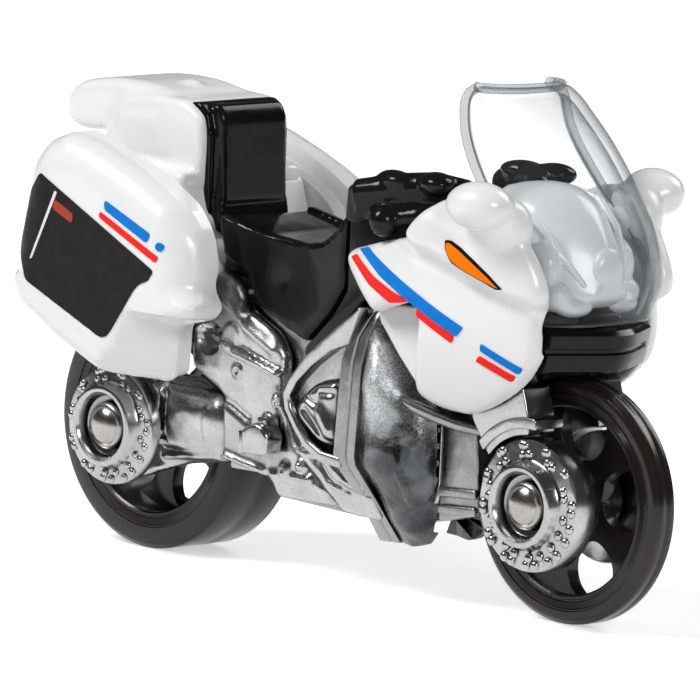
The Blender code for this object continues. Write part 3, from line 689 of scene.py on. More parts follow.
cowl_skin = (
    # from the strap across to the front edge, top row first: x, distance out, height
    ((6.5, 7.5, 22.6), (7.6, 7.4, 20.9), (8.8, 7.2, 19.0), (10.4, 6.6, 17.3), (12.0, 5.7, 16.4)),
    ((6.2, 7.9, 20.6), (7.6, 8.2, 19.6), (9.1, 7.9, 17.9), (10.9, 6.9, 16.6), (12.2, 5.6, 15.7)),
    ((6.1, 8.1, 17.6), (7.8, 8.6, 17.1), (9.6, 8.3, 16.0), (11.4, 7.0, 15.0), (12.3, 5.5, 14.3)),
    ((6.1, 8.1, 14.6), (7.9, 8.4, 14.2), (9.8, 8.2, 13.6), (11.6, 6.9, 13.0), (12.3, 5.4, 12.7)),
    ((6.0, 8.1, 11.8), (7.9, 8.3, 11.6), (9.8, 7.7, 11.2), (11.5, 6.6, 11.0), (12.2, 5.3, 10.8)),
    ((6.6, 6.4, 8.8), (8.2, 6.9, 8.9), (9.8, 6.5, 8.8), (11.1, 5.6, 8.9), (11.8, 4.6, 9.2)),
    ((6.9, 5.0, 6.4), (8.3, 5.3, 6.3), (9.4, 5.0, 6.3), (10.4, 4.5, 6.5), (10.9, 3.8, 6.9)),
    ((7.1, 3.8, 4.7), (8.0, 3.8, 4.55), (8.8, 3.6, 4.6), (9.4, 3.3, 4.8), (9.7, 3.0, 5.1)),
)
strap_route = (
    # height, rear edge: x and distance out, front edge: x and distance out, depth
    (24.1, 5.9, 6.9, 7.2, 7.0, 0.7), (23.2, 5.3, 7.5, 6.9, 7.5, 0.9), (21.6, 4.5, 8.2, 6.5, 8.2, 1.1),
    (19.5, 4.15, 8.6, 6.35, 8.6, 1.2), (15.5, 4.0, 8.75, 6.3, 8.75, 1.2), (11.9, 3.85, 8.8, 6.15, 8.8, 1.2),
    (11.2, 3.9, 8.65, 6.15, 8.6, 1.2), (8.2, 4.7, 6.5, 6.6, 6.4, 1.0), (4.6, 5.1, 4.2, 7.1, 3.9, 0.8),
)


strap_groove = ((0.0, 0.0), (0.5, 0.1), (0.58, -0.22), (0.66, 0.0), (1.0, -0.05))  # part across, rise


def weave(values, t):
    """A smooth run through the values, t from 0 to the last one."""
    k = max(0, min(len(values) - 2, int(t)))
    f = t - k
    before, near = values[max(k - 1, 0)], values[k]
    far, after = values[k + 1], values[min(k + 2, len(values) - 1)]
    return near + 0.5 * f * (
        far - before + f * (2 * before - 5 * near + 4 * far - after + f * (3 * (near - far) + after - before))
    )


def draped(net, columns, rows):
    """A fine skin over a coarse net of points."""
    shape = bmesh.new()
    bmesh.ops.create_grid(shape, x_segments=columns, y_segments=rows, size=0.5)
    points = [[Vector(p) for p in row] for row in net]
    for vert in shape.verts:
        u, v = vert.co.x + 0.5, 0.5 - vert.co.y
        line = [weave(row, u * (len(row) - 1)) for row in points]
        vert.co = weave(line, v * (len(line) - 1))
    bmesh.ops.recalc_face_normals(shape, faces=shape.faces)
    return shape


def bump_at(u, v, centre, radius, height):
    return height * math.exp(-(((u - centre[0]) / radius[0]) ** 2) - ((v - centre[1]) / radius[1]) ** 2)


cowl_swellings = (
    # middle, reach, height, by place across and down the cowl
    ((0.2, 0.25), (0.2, 0.1), 0.28), ((0.25, 0.6), (0.2, 0.08), 0.25), ((0.55, 0.42), (0.15, 0.12), -0.3),
)


def cowl_relief(u, v):
    """Soft swellings of the casting, and the fold that runs down its lower half."""
    wave = 0.22 * noise.noise(Vector((u * 3.1, v * 6.0, 1.3)))
    wave += 0.07 * noise.noise(Vector((u * 9.0, v * 17.0, 4.1)))
    fold = 0.4 * math.exp(-(((u - 0.66 - 0.1 * (v - 0.62)) / 0.05) ** 2))
    fold *= clamp((v - 0.5) / 0.12) * clamp((0.93 - v) / 0.2)
    rim = 0.35 * math.exp(-((v / 0.035) ** 2)) * clamp((u - 0.35) / 0.3)
    return wave + fold + rim + sum(bump_at(u, v, *swelling) for swelling in cowl_swellings)


def sparkling(name, dark, pale):
    """Zinc off a rough die: it glitters beside the strap and turns smooth round the front. Its colour is
    painted light beside the strap, and a painted dark reflection towards the front and the bottom.
    """
    material, shader, place = finish(name, metallic=1.0)
    run = place.cells(2.4, 2.0, 0.5, 0.5)
    grain = place.cells(0.16, 3.0, 0.7)
    forward = place.node("ShaderNodeSeparateXYZ", {}, {"Vector": place}) + run * 0.0022
    upward = place.node("ShaderNodeSeparateXYZ", {}, {"Vector": place}, output=2) + run * 0.002
    # By place: pale at the top beside the strap and dark towards the front and the bottom, which is painted
    # light and a painted dark reflection. The same mask sets the glitter of the bump and the metallic.
    glitter_and_painted_light = forward.spread(1.0, 0.35, 0.0092, 0.0116) * upward.spread(0.1, 1.0, 0.0128, 0.0176)
    tone_and_painted_shade = glitter_and_painted_light * grain.spread(0.55, 1.05, 0.36, 0.64) + run.spread(0.0, 0.13)
    feed(
        shader,
        base_color=tone_and_painted_shade.tint(dark, pale),
        roughness=grain.spread(0.16, 0.34),
        metallic=glitter_and_painted_light.spread(1.0, 0.55, 0.1, 0.7),
        normal=(run + glitter_and_painted_light * grain * 0.9).bump(0.8, 0.08),
    )
    return material


# The dark colour is the painted dark reflection at the cowl's front and bottom; the pale one is painted light
# beside the strap.
zinc_sparkle = sparkling("zinc_sparkle", (0.022, 0.025, 0.027), (0.66, 0.69, 0.7))


def cowl_back(side):
    """Where the cowl's rim ends: in at the crankcase, and nearer the middle at the keel."""
    def place(point):
        inner = CORE_SIDE if point.z > 8.5 else (3.65 if point.z > 6.0 else 2.7)
        return min(point.x, 11.9), side * inner, point.z
    return place


for label, side in SIDES:
    shape = relief(rounded(head_outline, 0.9), head_height, CORE_SIDE, side, 0.14)
    piece = hand_over(shape, f"cylinder_head_{label}", zinc_smooth, middle, 50.0)
    melt(piece, 0.1, 4)
    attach(piece, "chassis")
    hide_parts(f"cylinder_{label}")

    shape = strip(guard_pairs, side * 7.4, side * 8.85, 0.22)
    piece = hand_over(shape, f"engine_guard_{label}", zinc_smooth, middle)
    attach(piece, "chassis")
    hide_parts(f"guard_loop_{label}")

    skin = draped([[(x, side * y, z) for x, y, z in row] for row in cowl_skin], 44, 84)
    if sum(f.normal.y * side * f.calc_area() for f in skin.faces) < 0:
        bmesh.ops.reverse_faces(skin, faces=skin.faces)
    skin.normal_update()
    ways = {v: v.normal.copy() for v in skin.verts}
    for vert, way in ways.items():
        across, down = (vert.co.x - 6.0) / 6.4, (22.8 - vert.co.z) / 18.3
        vert.co += way * cowl_relief(across, down)
    close_back(skin, cowl_back(side))
    piece = hand_over(skin, f"lower_cowl_{label}", zinc_sparkle, middle, 50.0)
    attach(piece, "chassis")
    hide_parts(f"cowl_{label}")

    rings = []
    for z, rear, rear_out, front, front_out, depth in strap_route:
        ring = [
            (rear + (front - rear) * t, side * (rear_out + (front_out - rear_out) * t + rise), z)
            for t, rise in strap_groove
        ]
        rings.append(ring + [
            (front - 0.15, side * (front_out - depth), z), (rear + 0.15, side * (rear_out - depth), z),
        ])
    shape = lofted(rings)
    round_off(shape, 40, 0.12, 3)
    piece = hand_over(shape, f"cowl_strap_{label}", zinc_dull, middle, 35.0)
    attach(piece, "chassis")


# ---------------------------------------------------------------- fork
# Two short zinc legs that run from under the fairing on to the brake discs, cast with the frame.
# Each has a collar round the disc's top, and a small shroud in front of it.
for label, side in SIDES:
    leg = arc(front_centre, 5.65, 142, 92, 10) + [
        (front_centre[0] + x, z)
        for x, z in ((-0.3, 17.2), (-1.0, 19.4), (-2.6, 20.4), (-3.2, 22.4), (-7.6, 22.4), (-6.4, 16.2))
    ]
    shape = plate(leg, 0.3, side * 2.6, side * 5.75, 0.55, 4)
    collar = arc(front_centre, 6.2, 142, 82, 12) + arc(front_centre, 7.1, 84, 140, 12)
    gather(shape, plate(collar, 0.3, side * 2.7, side * 6.0, 0.3, 3))
    shroud = [(front_centre[0] + x, z) for x, z in ((-6.2, 17.6), (-3.0, 17.9), (-2.2, 19.2), (-6.8, 19.6))]
    gather(shape, plate(shroud, 0.4, side * 5.0, side * 6.1, 0.4, 3))
    piece = hand_over(shape, f"fork_leg_{label}", zinc_smooth, middle)
    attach(piece, "chassis")
    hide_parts(f"fork_{label}")


# ---------------------------------------------------------------- tail, panniers and top case
# Glossy white mouldings. Each pannier is a plump box with a flat printed face, a lobe at its
# front and a set-back foot; the top case and the lid that overhangs it are one soft moulding.
white_gloss = moulded("white_gloss", (0.885, 0.888, 0.89), (0.9, 0.9, 0.898), (0.22, 0.27), 14.0, 0.01)
pannier_outline = [
    (-30.2, 21.7), (-29.1, 20.5), (-24.7, 18.1), (-20.2, 16.2), (-18.2, 15.6), (-15.0, 15.4), (-14.1, 16.0),
    (-13.9, 20.2), (-10.2, 21.1), (-9.2, 22.2), (-10.4, 23.7), (-9.9, 25.6), (-10.6, 28.2), (-12.3, 30.3),
    (-15.2, 31.9),
    (-18.6, 33.3), (-22.4, 34.6), (-25.3, 35.2), (-27.8, 34.2), (-29.3, 32.2), (-30.6, 26.2), (-30.9, 23.6),
]
PANNIER_FACE = 13.1
PANNIER_ROLL = 2.6


def pannier_height(x, z, d):
    low = clamp((24.0 - z) / 3.0)
    t = max(0.0, 1.0 - d / (3.1 - 1.7 * low))
    y = PANNIER_FACE - (PANNIER_ROLL - 1.3 * low) * (1.0 - math.sqrt(max(0.0, 1.0 - t ** 2.2)))
    fold = x + 15.0 + 0.56 * (24.0 - z)  # past the fold the foot turns to the front
    y -= 0.72 * max(0.0, fold) * clamp((21.5 - z) / 0.7)
    y -= 0.5 * clamp((x + 13.5) / 3.0) * clamp((z - 22.5) / 2.0)
    ledge = 18.75 - 0.406 * (x + 19.3)  # a lip runs along under the printed panel
    return max(9.3, y + 0.35 * clamp((ledge - z) / 0.4) * clamp((-18.2 - x) / 0.6))


tail_body = arc(rear_centre, 11.7, 128, 76, 12) + [
    (-17.4, 21.9), (-14.0, 22.7), (-13.4, 25.0), (-15.5, 27.6), (-16.7, 31.35), (-28.6, 31.35),
    (-30.6, 29.4),
]
piece = hand_over(plate(tail_body, 0.5, -7.2, 7.2, 0.5, 3), "tail_body", white_gloss, middle)
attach(piece, "chassis")
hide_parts("tail")

for label, side in SIDES:
    hems = (0.1, 0.15, 0.25, 0.35, 0.45)
    shape = relief(rounded(pannier_outline, 0.9), pannier_height, 8.9, side, 0.5, hems)
    backing = [(min(x, -14.0 + (x + 14.0) * 0.6), z - (1.2 if z > 27 else 0)) for x, z in pannier_outline]
    backing = [(-21.5 + (x + 21.5) * 0.97, 25.0 + (z - 25.0) * 0.97) for x, z in backing]
    gather(shape, plate(backing, 0.8, side * 7.45, side * 9.4, 0.0))
    piece = hand_over(shape, f"pannier_box_{label}", white_gloss, middle, 45.0)
    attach(piece, "chassis")
    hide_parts(f"pannier_{label}")

case_side = [
    (-28.0, 30.8), (-27.9, 35.8), (-26.2, 37.5), (-22.8, 38.3), (-18.4, 38.1), (-16.5, 36.9),
    (-16.3, 35.0), (-16.4, 30.8),
]
lid_side = [
    (-33.3, 34.9), (-33.4, 37.0), (-31.8, 38.4), (-28.2, 39.0), (-24.0, 39.0), (-20.4, 38.4),
    (-21.0, 35.0), (-31.4, 34.2),
]
shape = plate(case_side, 0.7, -5.25, 5.25, 0.5, 3)
gather(shape, plate(lid_side, 1.0, -4.6, 4.6, 0.9, 4))
gather(shape, slab([(-28.0, 30.6), (-28.0, 32.4), (-16.6, 32.4), (-16.6, 30.6)], -7.0, 7.0, 0.2))
raised_panel = [(-26.6, 33.4), (-26.0, 36.2), (-21.4, 36.6), (-19.6, 33.4)]
for side in (-1, 1):
    gather(shape, plate(raised_panel, 0.5, side * 5.0, side * 5.6, 0.2))
knob = bmesh.new()
bmesh.ops.create_uvsphere(knob, u_segments=20, v_segments=12, radius=0.9)
gather(shape, knob, Matrix.Translation((-23.0, 0.0, 38.7)) @ Matrix.Diagonal((1.2, 1.0, 0.6, 1.0)))
piece = hand_over(shape, "radio_case", white_gloss, middle, 180.0)
melt(piece, 0.25, 14)
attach(piece, "chassis")
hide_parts("top_case")


# ---------------------------------------------------------------- saddle, backrest and tank
# Black plastic, one dished saddle with high side skirts, a square backrest with a flange behind
# it, and the tank with the console that carries the handlebar.
black_gloss = moulded(
    "black_gloss", (0.005, 0.0045, 0.0045), (0.011, 0.0095, 0.009), (0.1, 0.2), 4.0, 0.05, 0.17
)
saddle = [
    (-13.6, 29.4), (-8.6, 28.4), (-3.8, 28.0), (-1.8, 28.3), (0.0, 29.6), (1.3, 31.2), (1.3, 24.8),
    (-0.2, 22.6), (-2.9, 19.9), (-5.6, 20.9), (-8.9, 22.4), (-10.2, 24.8), (-12.8, 25.8),
]


def skirt_height(x, z, d):
    hollow = math.exp(-(((x + 5.0) / 4.5) ** 2) - ((z - 25.0) / 3.0) ** 2)
    return 5.8 - edge_fall(d, 0.5) - 0.45 * hollow + lumps(x, z, 2.6, 0.12)


shape = bmesh.new()
for side in (-1, 1):
    gather(shape, relief(rounded(saddle, 0.5), skirt_height, 4.6, side, 0.4, (0.12, 0.2)))
top = [p for p in saddle if p[1] > 27.0]
cushion = top + [(1.3, 24.2), (-13.2, 24.2)]
cushion = [(x, z - (0.35 if z > 27 else 0.0)) for x, z in cushion]
gather(shape, plate(cushion, 0.5, -4.9, 4.9, 0.2))
piece = hand_over(shape, "saddle", black_gloss, middle, 45.0)
melt(piece, 0.16, 3)
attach(piece, "chassis")
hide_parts("seat")

pad = [(-14.9, 29.7), (-15.3, 36.9), (-15.9, 37.9), (-16.9, 38.0), (-16.9, 31.0), (-15.6, 29.5)]
flange = [
    (-15.9, 28.0), (-16.0, 35.6), (-16.5, 37.3), (-17.4, 38.0), (-18.4, 38.0), (-18.4, 37.4), (-17.4, 36.6),
    (-17.0, 35.4), (-16.6, 31.0), (-16.4, 27.6),
]
shape = plate(pad, 0.5, -3.75, 3.75, 0.5, 4)
gather(shape, plate(flange, 0.25, -4.55, 4.55, 0.12, 2))
pad_foot = [(-15.0, 29.9), (-14.6, 27.4), (-16.2, 27.4), (-16.4, 31.0)]
gather(shape, plate(pad_foot, 0.3, -3.9, 3.9, 0.2, 2))
piece = hand_over(shape, "back_pad", black_gloss, middle, 180.0)
melt(piece, 0.16, 5)
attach(piece, "chassis")
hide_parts("backrest")

console = [
    (1.6, 31.0), (4.0, 31.2), (9.6, 31.6), (11.2, 32.9), (14.2, 32.9), (14.2, 24.4), (3.4, 24.2),
    (1.2, 21.9), (-3.0, 18.8), (-2.9, 19.6), (0.1, 22.5), (1.6, 24.7),
]
piece = hand_over(plate(console, 0.3, -5.6, 5.6, 0.35, 3), "tank_shell", black_gloss, middle)
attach(piece, "chassis")
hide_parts("tank")


# ---------------------------------------------------------------- handlebar
# Black plastic bar with thick grips, a ball at each lever's end and lumpy switch housings. It
# dips in the middle, between the console and the nose, and is moulded in one piece.
def lump(shape, centre, size, turn=0.0):
    ball = bmesh.new()
    bmesh.ops.create_uvsphere(ball, u_segments=24, v_segments=16, radius=1.0)
    turned_size = Matrix.Rotation(math.radians(turn), 4, "Z") @ Matrix.Diagonal((*size, 1.0))
    gather(shape, ball, Matrix.Translation(centre) @ turned_size)


shape = bmesh.new()
for side in (-1, 1):
    upper = [
        (5.2, -8.5, 33.3), (7.2, -8.0, 33.7), (9.4, -7.2, 34.1), (11.6, -6.2, 34.4), (13.0, -4.2, 34.0),
        (13.4, -2.2, 32.8),
        (13.4, 0.0, 32.0),
    ]
    gather(shape, tube([(x, side * -y, z) for x, y, z in upper], [1.2, 1.25, 1.3, 1.25, 1.1, 1.1, 1.1]))
    lower = [
        (5.4, -8.4, 32.2), (7.4, -7.8, 32.3), (9.6, -7.0, 32.7), (11.8, -5.6, 33.1), (13.2, -3.4, 32.4),
        (13.4, 0.0, 31.4),
    ]
    gather(shape, tube([(x, side * -y, z) for x, y, z in lower], [1.0, 1.1, 1.2, 1.2, 1.1, 1.0]))
    cap = [(4.3, 31.0), (4.5, 34.0), (5.9, 34.2), (6.0, 30.9)]
    gather(shape, plate(cap, 0.5, side * 7.6, side * 9.2, 0.3, 3))
    lump(shape, (8.3, side * 8.6, 31.4), (1.3, 1.3, 1.3))
    lump(shape, (8.2, side * 7.5, 34.7), (2.0, 1.3, 0.8), side * 20.0)
    lump(shape, (12.3, side * 6.9, 34.8), (1.9, 1.5, 0.95), side * 30.0)
    lever = [(8.6, side * 8.2, 31.5), (10.8, side * 7.4, 32.0), (13.0, side * 5.6, 32.6)]
    gather(shape, tube(lever, [0.7, 0.65, 0.6]))
piece = hand_over(shape, "bar", black_gloss, middle, 60.0)
melt(piece, 0.16, 7)
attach(piece, "chassis")
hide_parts("handlebar")


# ---------------------------------------------------------------- fairing
# White shells on both sides: a long lower panel with printed stripes, an upper lobe that
# overhangs it and a round mirror, in one moulding. The panel behind closes the notch to the cowl.
fairing_outline = [
    (3.0, 28.1), (4.0, 28.7), (8.3, 29.9), (11.3, 30.6), (11.8, 31.6), (13.0, 32.9), (14.6, 33.9),
    (17.0, 34.6), (20.1, 34.8), (21.9, 32.9), (23.2, 31.6), (24.2, 30.1), (25.0, 28.6), (25.3, 27.5),
    (25.1, 26.6), (24.4, 25.5), (24.3, 24.6), (24.5, 22.6), (24.3, 21.5), (23.6, 20.5), (22.1, 19.1),
    (20.3, 17.9), (18.4, 16.9), (16.9, 16.3), (15.3, 16.5), (13.3, 16.9), (11.7, 17.6), (11.6, 18.6),
    (12.2, 20.7), (12.9, 23.6), (13.1, 25.2), (12.0, 25.3), (9.6, 24.5), (7.5, 23.7), (5.7, 25.2),
    (3.7, 27.0),
]
crease_line = [
    (11.0, 32.0), (11.7, 30.1), (12.8, 29.4), (14.3, 29.2), (16.8, 28.5), (19.5, 27.5), (21.8, 26.5),
    (23.9, 26.0), (25.4, 25.6),
]
FAIRING_BACK = 7.0
FAIRING_WALL = 1.3


def over_crease(x, z):
    """Height of a point over the fold below the upper lobe."""
    if x <= crease_line[0][0]:
        return z - 33.0
    for (x0, z0), (x1, z1) in zip(crease_line, crease_line[1:]):
        if x <= x1:
            return z - (z0 + (z1 - z0) * (x - x0) / (x1 - x0))
    return z - crease_line[-1][1]


def fairing_height(x, z):
    across = (x - 13.0) / 12.0
    up = (z - 25.5) / 9.0
    y = 9.6 - 2.3 * across * across - (1.2 if up > 0 else 2.2) * up * up
    over = over_crease(x, z)
    y += 1.0 * clamp(over / 1.0) - 0.4 * math.exp(-(((over + 0.25) / 0.5) ** 2))
    return y - 0.35 * math.exp(-((off_line(x, z, [(14.6, 33.0), (17.5, 32.2), (21.5, 31.6)]) / 0.8) ** 2))


def fairing_shell(x, z, d):
    return fairing_height(x, z) - 1.1 * edge_fall(d, 0.9)


for label, side in SIDES:
    shape = relief(rounded(fairing_outline, 0.5), fairing_shell, FAIRING_BACK, side, 0.45, (0.1, 0.2, 0.3))
    for vert in shape.verts:
        if abs(vert.co.y) < FAIRING_BACK + 0.001:
            vert.co.y = side * (fairing_height(vert.co.x, vert.co.z) - FAIRING_WALL)
    lump(shape, (20.3, side * 10.2, 34.1), (3.0, 2.3, 2.0), side * -8.0)
    lump(shape, (20.4, side * 7.8, 32.3), (3.0, 2.0, 2.7), side * -8.0)
    piece = hand_over(shape, f"fairing_shell_{label}", white_gloss, middle, 180.0)
    melt(piece, 0.2, 30)
    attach(piece, "chassis")
    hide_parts(f"fairing_{label}", f"mirror_{label}")

    panel = [(6.8, 23.2), (9.3, 20.4), (11.6, 18.2), (13.4, 18.2), (13.4, 24.8), (6.8, 24.6)]
    shape = plate(panel, 0.4, side * 6.05, side * 7.3, 0.3, 3)
    piece = hand_over(shape, f"notch_panel_{label}", white_gloss, middle)
    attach(piece, "chassis")
    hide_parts(f"fairing_inner_{label}")


# ---------------------------------------------------------------- printed stripes and indicator
# Ink printed on the white mouldings: blue and red stripes, an orange indicator with a black
# outline, and on each pannier a black panel with a white line and a red reflector.
def ink(name, colour, rough=0.4):
    material, shader, place = finish(name, specular_ior_level=0.15)
    worn = place.cells(0.5, 4.0, 0.7)
    feed(
        shader,
        base_color=worn.spread(0.0, 0.35, 0.45, 0.75).tint(colour, tuple(c * 1.2 + 0.005 for c in colour)),
        roughness=place.cells(1.2, 2.0).spread(rough - 0.08, rough + 0.08),
    )
    return material


ink_blue = ink("ink_blue", (0.0, 0.2, 0.68))
ink_red = ink("ink_red", (0.95, 0.02, 0.012))
ink_orange = ink("ink_orange", (0.98, 0.2, 0.0))
ink_black = ink("ink_black", (0.007, 0.005, 0.005), 0.3)
ink_garnet = ink("ink_garnet", (0.42, 0.05, 0.03))
ink_white = ink("ink_white", (0.8, 0.8, 0.82))
INK = 0.08  # how far the ink stands over the moulding


def printed(outline, surface, side, lift=INK, step=0.3):
    """A thin patch with this outline that follows a surface."""
    shape = bmesh.new()
    shape.faces.new([shape.verts.new((x, 0, z)) for x, z in outline])
    cut_in_cells(shape, step)
    bmesh.ops.triangulate(shape, faces=[f for f in shape.faces if len(f.verts) > 4])
    lifted = set(points_of(bmesh.ops.extrude_face_region(shape, geom=shape.faces[:])["geom"]))
    for vert in shape.verts:
        out = surface(vert.co.x, vert.co.z) + (lift if vert in lifted else -0.15)
        vert.co.y = side * out
    bmesh.ops.recalc_face_normals(shape, faces=shape.faces)
    return shape


fairing_prints = (
    ("blue_stripe", ink_blue, (
        [(5.75, 28.9), (6.7, 29.15), (9.4, 27.95), (18.1, 24.0), (17.4, 23.2), (8.7, 27.1)],
        [(19.7, 22.9), (23.2, 21.2), (22.8, 20.7), (19.6, 22.3)],
    )),
    ("red_stripe", ink_red, (
        [
            (4.6, 28.1), (5.3, 28.4), (7.9, 26.95), (10.9, 25.85), (12.4, 25.45), (11.6, 25.25),
            (10.2, 25.05),
            (7.4, 26.2),
        ],
        [(13.35, 25.1), (14.8, 24.4), (17.2, 23.2), (16.9, 22.6), (14.7, 23.7), (13.3, 24.4)],
        [(19.5, 21.9), (22.5, 20.5), (22.1, 20.0), (19.1, 21.4)],
    )),
    ("indicator_edge", ink_black, ([
        (16.5, 30.95), (17.1, 30.95), (18.1, 30.5), (19.45, 29.65), (20.9, 28.65), (22.2, 27.55),
        (21.7, 27.5),
        (20.6, 27.95), (18.7, 28.6), (17.4, 29.2), (16.65, 30.15),
    ],)),
)
for name, paint, outlines in fairing_prints:
    for label, side in SIDES:
        shape = bmesh.new()
        for outline in outlines:
            gather(shape, printed(rounded(outline, 0.15, 2), fairing_height, side))
        piece = hand_over(shape, f"{name}_{label}", paint, middle)
        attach(piece, "chassis")

leaf = [
    (16.65, 30.75), (17.0, 30.75), (18.0, 30.25), (19.35, 29.4), (20.8, 28.45), (21.9, 27.6), (20.6, 28.05),
    (18.75, 28.72), (17.5, 29.3), (16.75, 30.1),
]
for label, side in SIDES:
    shape = printed(rounded(leaf, 0.15, 2), fairing_height, side, 0.12)
    piece = hand_over(shape, f"indicator_{label}", ink_orange, middle)
    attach(piece, "chassis")


def pannier_skin(x, z):
    return pannier_height(x, z, off_line(x, z, pannier_outline, loop=True))


pannier_prints = (
    ("side_panel", ink_black, INK, ([
        (-27.1, 31.6), (-13.3, 25.0), (-13.9, 24.1), (-14.8, 23.8), (-15.5, 23.2), (-18.1, 19.4),
        (-18.6, 18.9),
        (-19.3, 18.85), (-28.3, 22.5), (-29.2, 24.3), (-29.4, 25.2), (-28.4, 30.0),
    ],)),
    ("panel_line", ink_white, 0.09, ([(-25.2, 30.3), (-24.9, 30.2), (-27.6, 24.4), (-27.9, 24.3)],)),
    ("reflector", ink_garnet, 0.1, ([(-25.2, 29.6), (-22.9, 28.6), (-23.0, 27.8), (-25.4, 28.8)],)),
    ("case_blue", ink_blue, INK, (
        [(-19.3, 30.2), (-13.8, 28.0), (-14.2, 27.2), (-19.3, 29.4)],
        [(-13.0, 27.5), (-12.3, 27.2), (-12.6, 26.6), (-13.3, 26.9)],
    )),
    ("case_red", ink_red, INK, ([(-19.8, 29.2), (-12.8, 26.2), (-13.1, 25.7), (-19.9, 28.7)],)),
)
for name, paint, lift, outlines in pannier_prints:
    for label, side in SIDES:
        shape = bmesh.new()
        for outline in outlines:
            gather(shape, printed(rounded(outline, 0.3, 2), pannier_skin, side, lift))
        piece = hand_over(shape, f"{name}_{label}", paint, middle)
        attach(piece, "chassis")


# ---------------------------------------------------------------- nose and headlamp
# White nose moulding under the screen: a hood that narrows to one round lamp at its tip, with a
# ridge along each side and soft round housings below.
nose_rings = []
for x, half, low_z, high_z, ridge_z in (
    (15.0, 5.4, 25.2, 34.0, 34.9), (17.5, 5.7, 25.2, 34.4, 35.4), (20.0, 5.4, 25.2, 34.0, 35.4),
    (22.0, 4.8, 25.2, 32.6, 34.6), (23.6, 3.9, 25.4, 30.4, 32.8), (24.8, 2.9, 25.8, 28.4, 30.8),
    (25.6, 1.7, 26.6, 27.6, 29.0),
):
    centre_z = (low_z + high_z) / 2
    nose_rings.append([
        (x, -half, low_z), (x, half, low_z), (x, half, centre_z), (x, half * 0.72, high_z),
        (x, half * 0.25, ridge_z),
        (x, -half * 0.25, ridge_z), (x, -half * 0.72, high_z), (x, -half, centre_z),
    ])
piece = hand_over(lofted(nose_rings), "nose_hood", white_gloss, middle, 60.0)
soften(piece, 2)
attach(piece, "chassis")
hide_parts("nose")

lamps = bmesh.new()
for side in (-1, 1):
    lump(lamps, (21.6, side * 4.4, 28.8), (2.0, 1.2, 2.3))
    lump(lamps, (22.8, side * 3.9, 26.8), (1.8, 1.5, 1.3))
    lump(lamps, (23.9, side * 2.6, 26.0), (1.3, 1.9, 0.9))
    ridge_route = [
        (16.2, side * 4.7, 34.4), (19.4, side * 4.7, 33.7), (22.0, side * 4.1, 31.7),
        (23.7, side * 3.2, 29.3),
        (24.9, side * 2.3, 27.6),
    ]
    gather(lamps, tube(ridge_route, [0.3, 0.4, 0.4, 0.35, 0.3]))
lump(lamps, (25.0, 0.0, 28.8), (0.9, 1.7, 2.0))
piece = hand_over(lamps, "lamp_housings", white_gloss, middle, 60.0)
melt(piece, 0.18, 8)
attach(piece, "chassis")


# ---------------------------------------------------------------- screen
# Clear plastic with a light smoke tint, about 0.8 mm thick, bowed across and swept back. Its
# thick polished rim shows darker and the foot wraps the lamps.
screen_rows = (
    # height, middle x, edge x, edge half width
    (24.6, 26.2, 23.6, 5.9), (28.0, 27.5, 23.9, 6.3), (31.5, 27.0, 21.4, 6.8),
    (35.0, 25.4, 17.8, 6.65), (39.0, 22.2, 15.0, 6.15), (42.8, 16.9, 14.2, 5.7),
)
SCREEN_BOW = 2.3  # 2 is an ellipse in plan, more is squarer
SCREEN_FOOT = 24.6
SCREEN_TOP = 42.8
TOP_CORNER = 1.6


def screen_row(z):
    """Middle x, edge x and half width of the screen at a height, eased between the rows."""
    rows = screen_rows
    k = max(0, min(len(rows) - 2, sum(row[0] <= z for row in rows) - 1))
    before, low_row = rows[max(k - 1, 0)], rows[k]
    high_row, after = rows[k + 1], rows[min(k + 2, len(rows) - 1)]
    span = high_row[0] - low_row[0]
    t = (z - low_row[0]) / span
    values = []
    for c in (1, 2, 3):
        m0 = (high_row[c] - before[c]) / (high_row[0] - before[0]) * span
        m1 = (after[c] - low_row[c]) / (after[0] - low_row[0]) * span
        values.append(
            (2 * t ** 3 - 3 * t ** 2 + 1) * low_row[c] + (t ** 3 - 2 * t ** 2 + t) * m0
            + (3 * t ** 2 - 2 * t ** 3) * high_row[c] + (t ** 3 - t ** 2) * m1
        )
    return values


def on_screen(u, z):
    """A point of the screen: u runs from -1 at the right edge to 1 at the left one."""
    mid_x, edge_x, half = screen_row(z)
    drop = max(0.0, z - (SCREEN_TOP - TOP_CORNER)) / TOP_CORNER
    half -= TOP_CORNER * (1.0 - math.sqrt(max(0.0, 1.0 - drop * drop)))
    bow = (1 - min(1.0, abs(u)) ** SCREEN_BOW) ** (1 / SCREEN_BOW)
    return Vector((edge_x + (mid_x - edge_x) * bow, u * half, z))


shape = bmesh.new()
bmesh.ops.create_grid(shape, x_segments=48, y_segments=72, size=1.0)
for vert in shape.verts:
    z = SCREEN_FOOT + (SCREEN_TOP - SCREEN_FOOT) * (vert.co.y + 1) / 2
    vert.co = on_screen(math.sin(vert.co.x * math.pi / 2), z)
bmesh.ops.recalc_face_normals(shape, faces=shape.faces)
if sum(f.normal.x * f.calc_area() for f in shape.faces) < 0:
    bmesh.ops.reverse_faces(shape, faces=shape.faces)


def clear_plastic(name, shade, body):
    """Clear smoked plastic: see-through face on, and grey where it turns away or is thick."""
    material, shader, place = finish(name, roughness=0.1, ior=1.46, specular_ior_level=0.3)
    shader.inputs["Base Color"].default_value = (*shade, 1.0)
    tree = material.node_tree
    facing_away = place.node("ShaderNodeLayerWeight", {}, {"Blend": 0.35}, output=1)
    cover = facing_away.spread(body[0], body[1], 0.15, 0.95) + place.cells(2.5, 2.0) * 0.04
    clear = tree.nodes.new("ShaderNodeBsdfTransparent")
    clear.inputs["Color"].default_value = (0.97, 0.98, 0.985, 1.0)
    blend = tree.nodes.new("ShaderNodeMixShader")
    tree.links.new(cover.socket, blend.inputs[0])
    tree.links.new(clear.outputs[0], blend.inputs[1])
    tree.links.new(shader.outputs[0], blend.inputs[2])
    tree.links.new(blend.outputs[0], tree.nodes["Material Output"].inputs["Surface"])
    return material


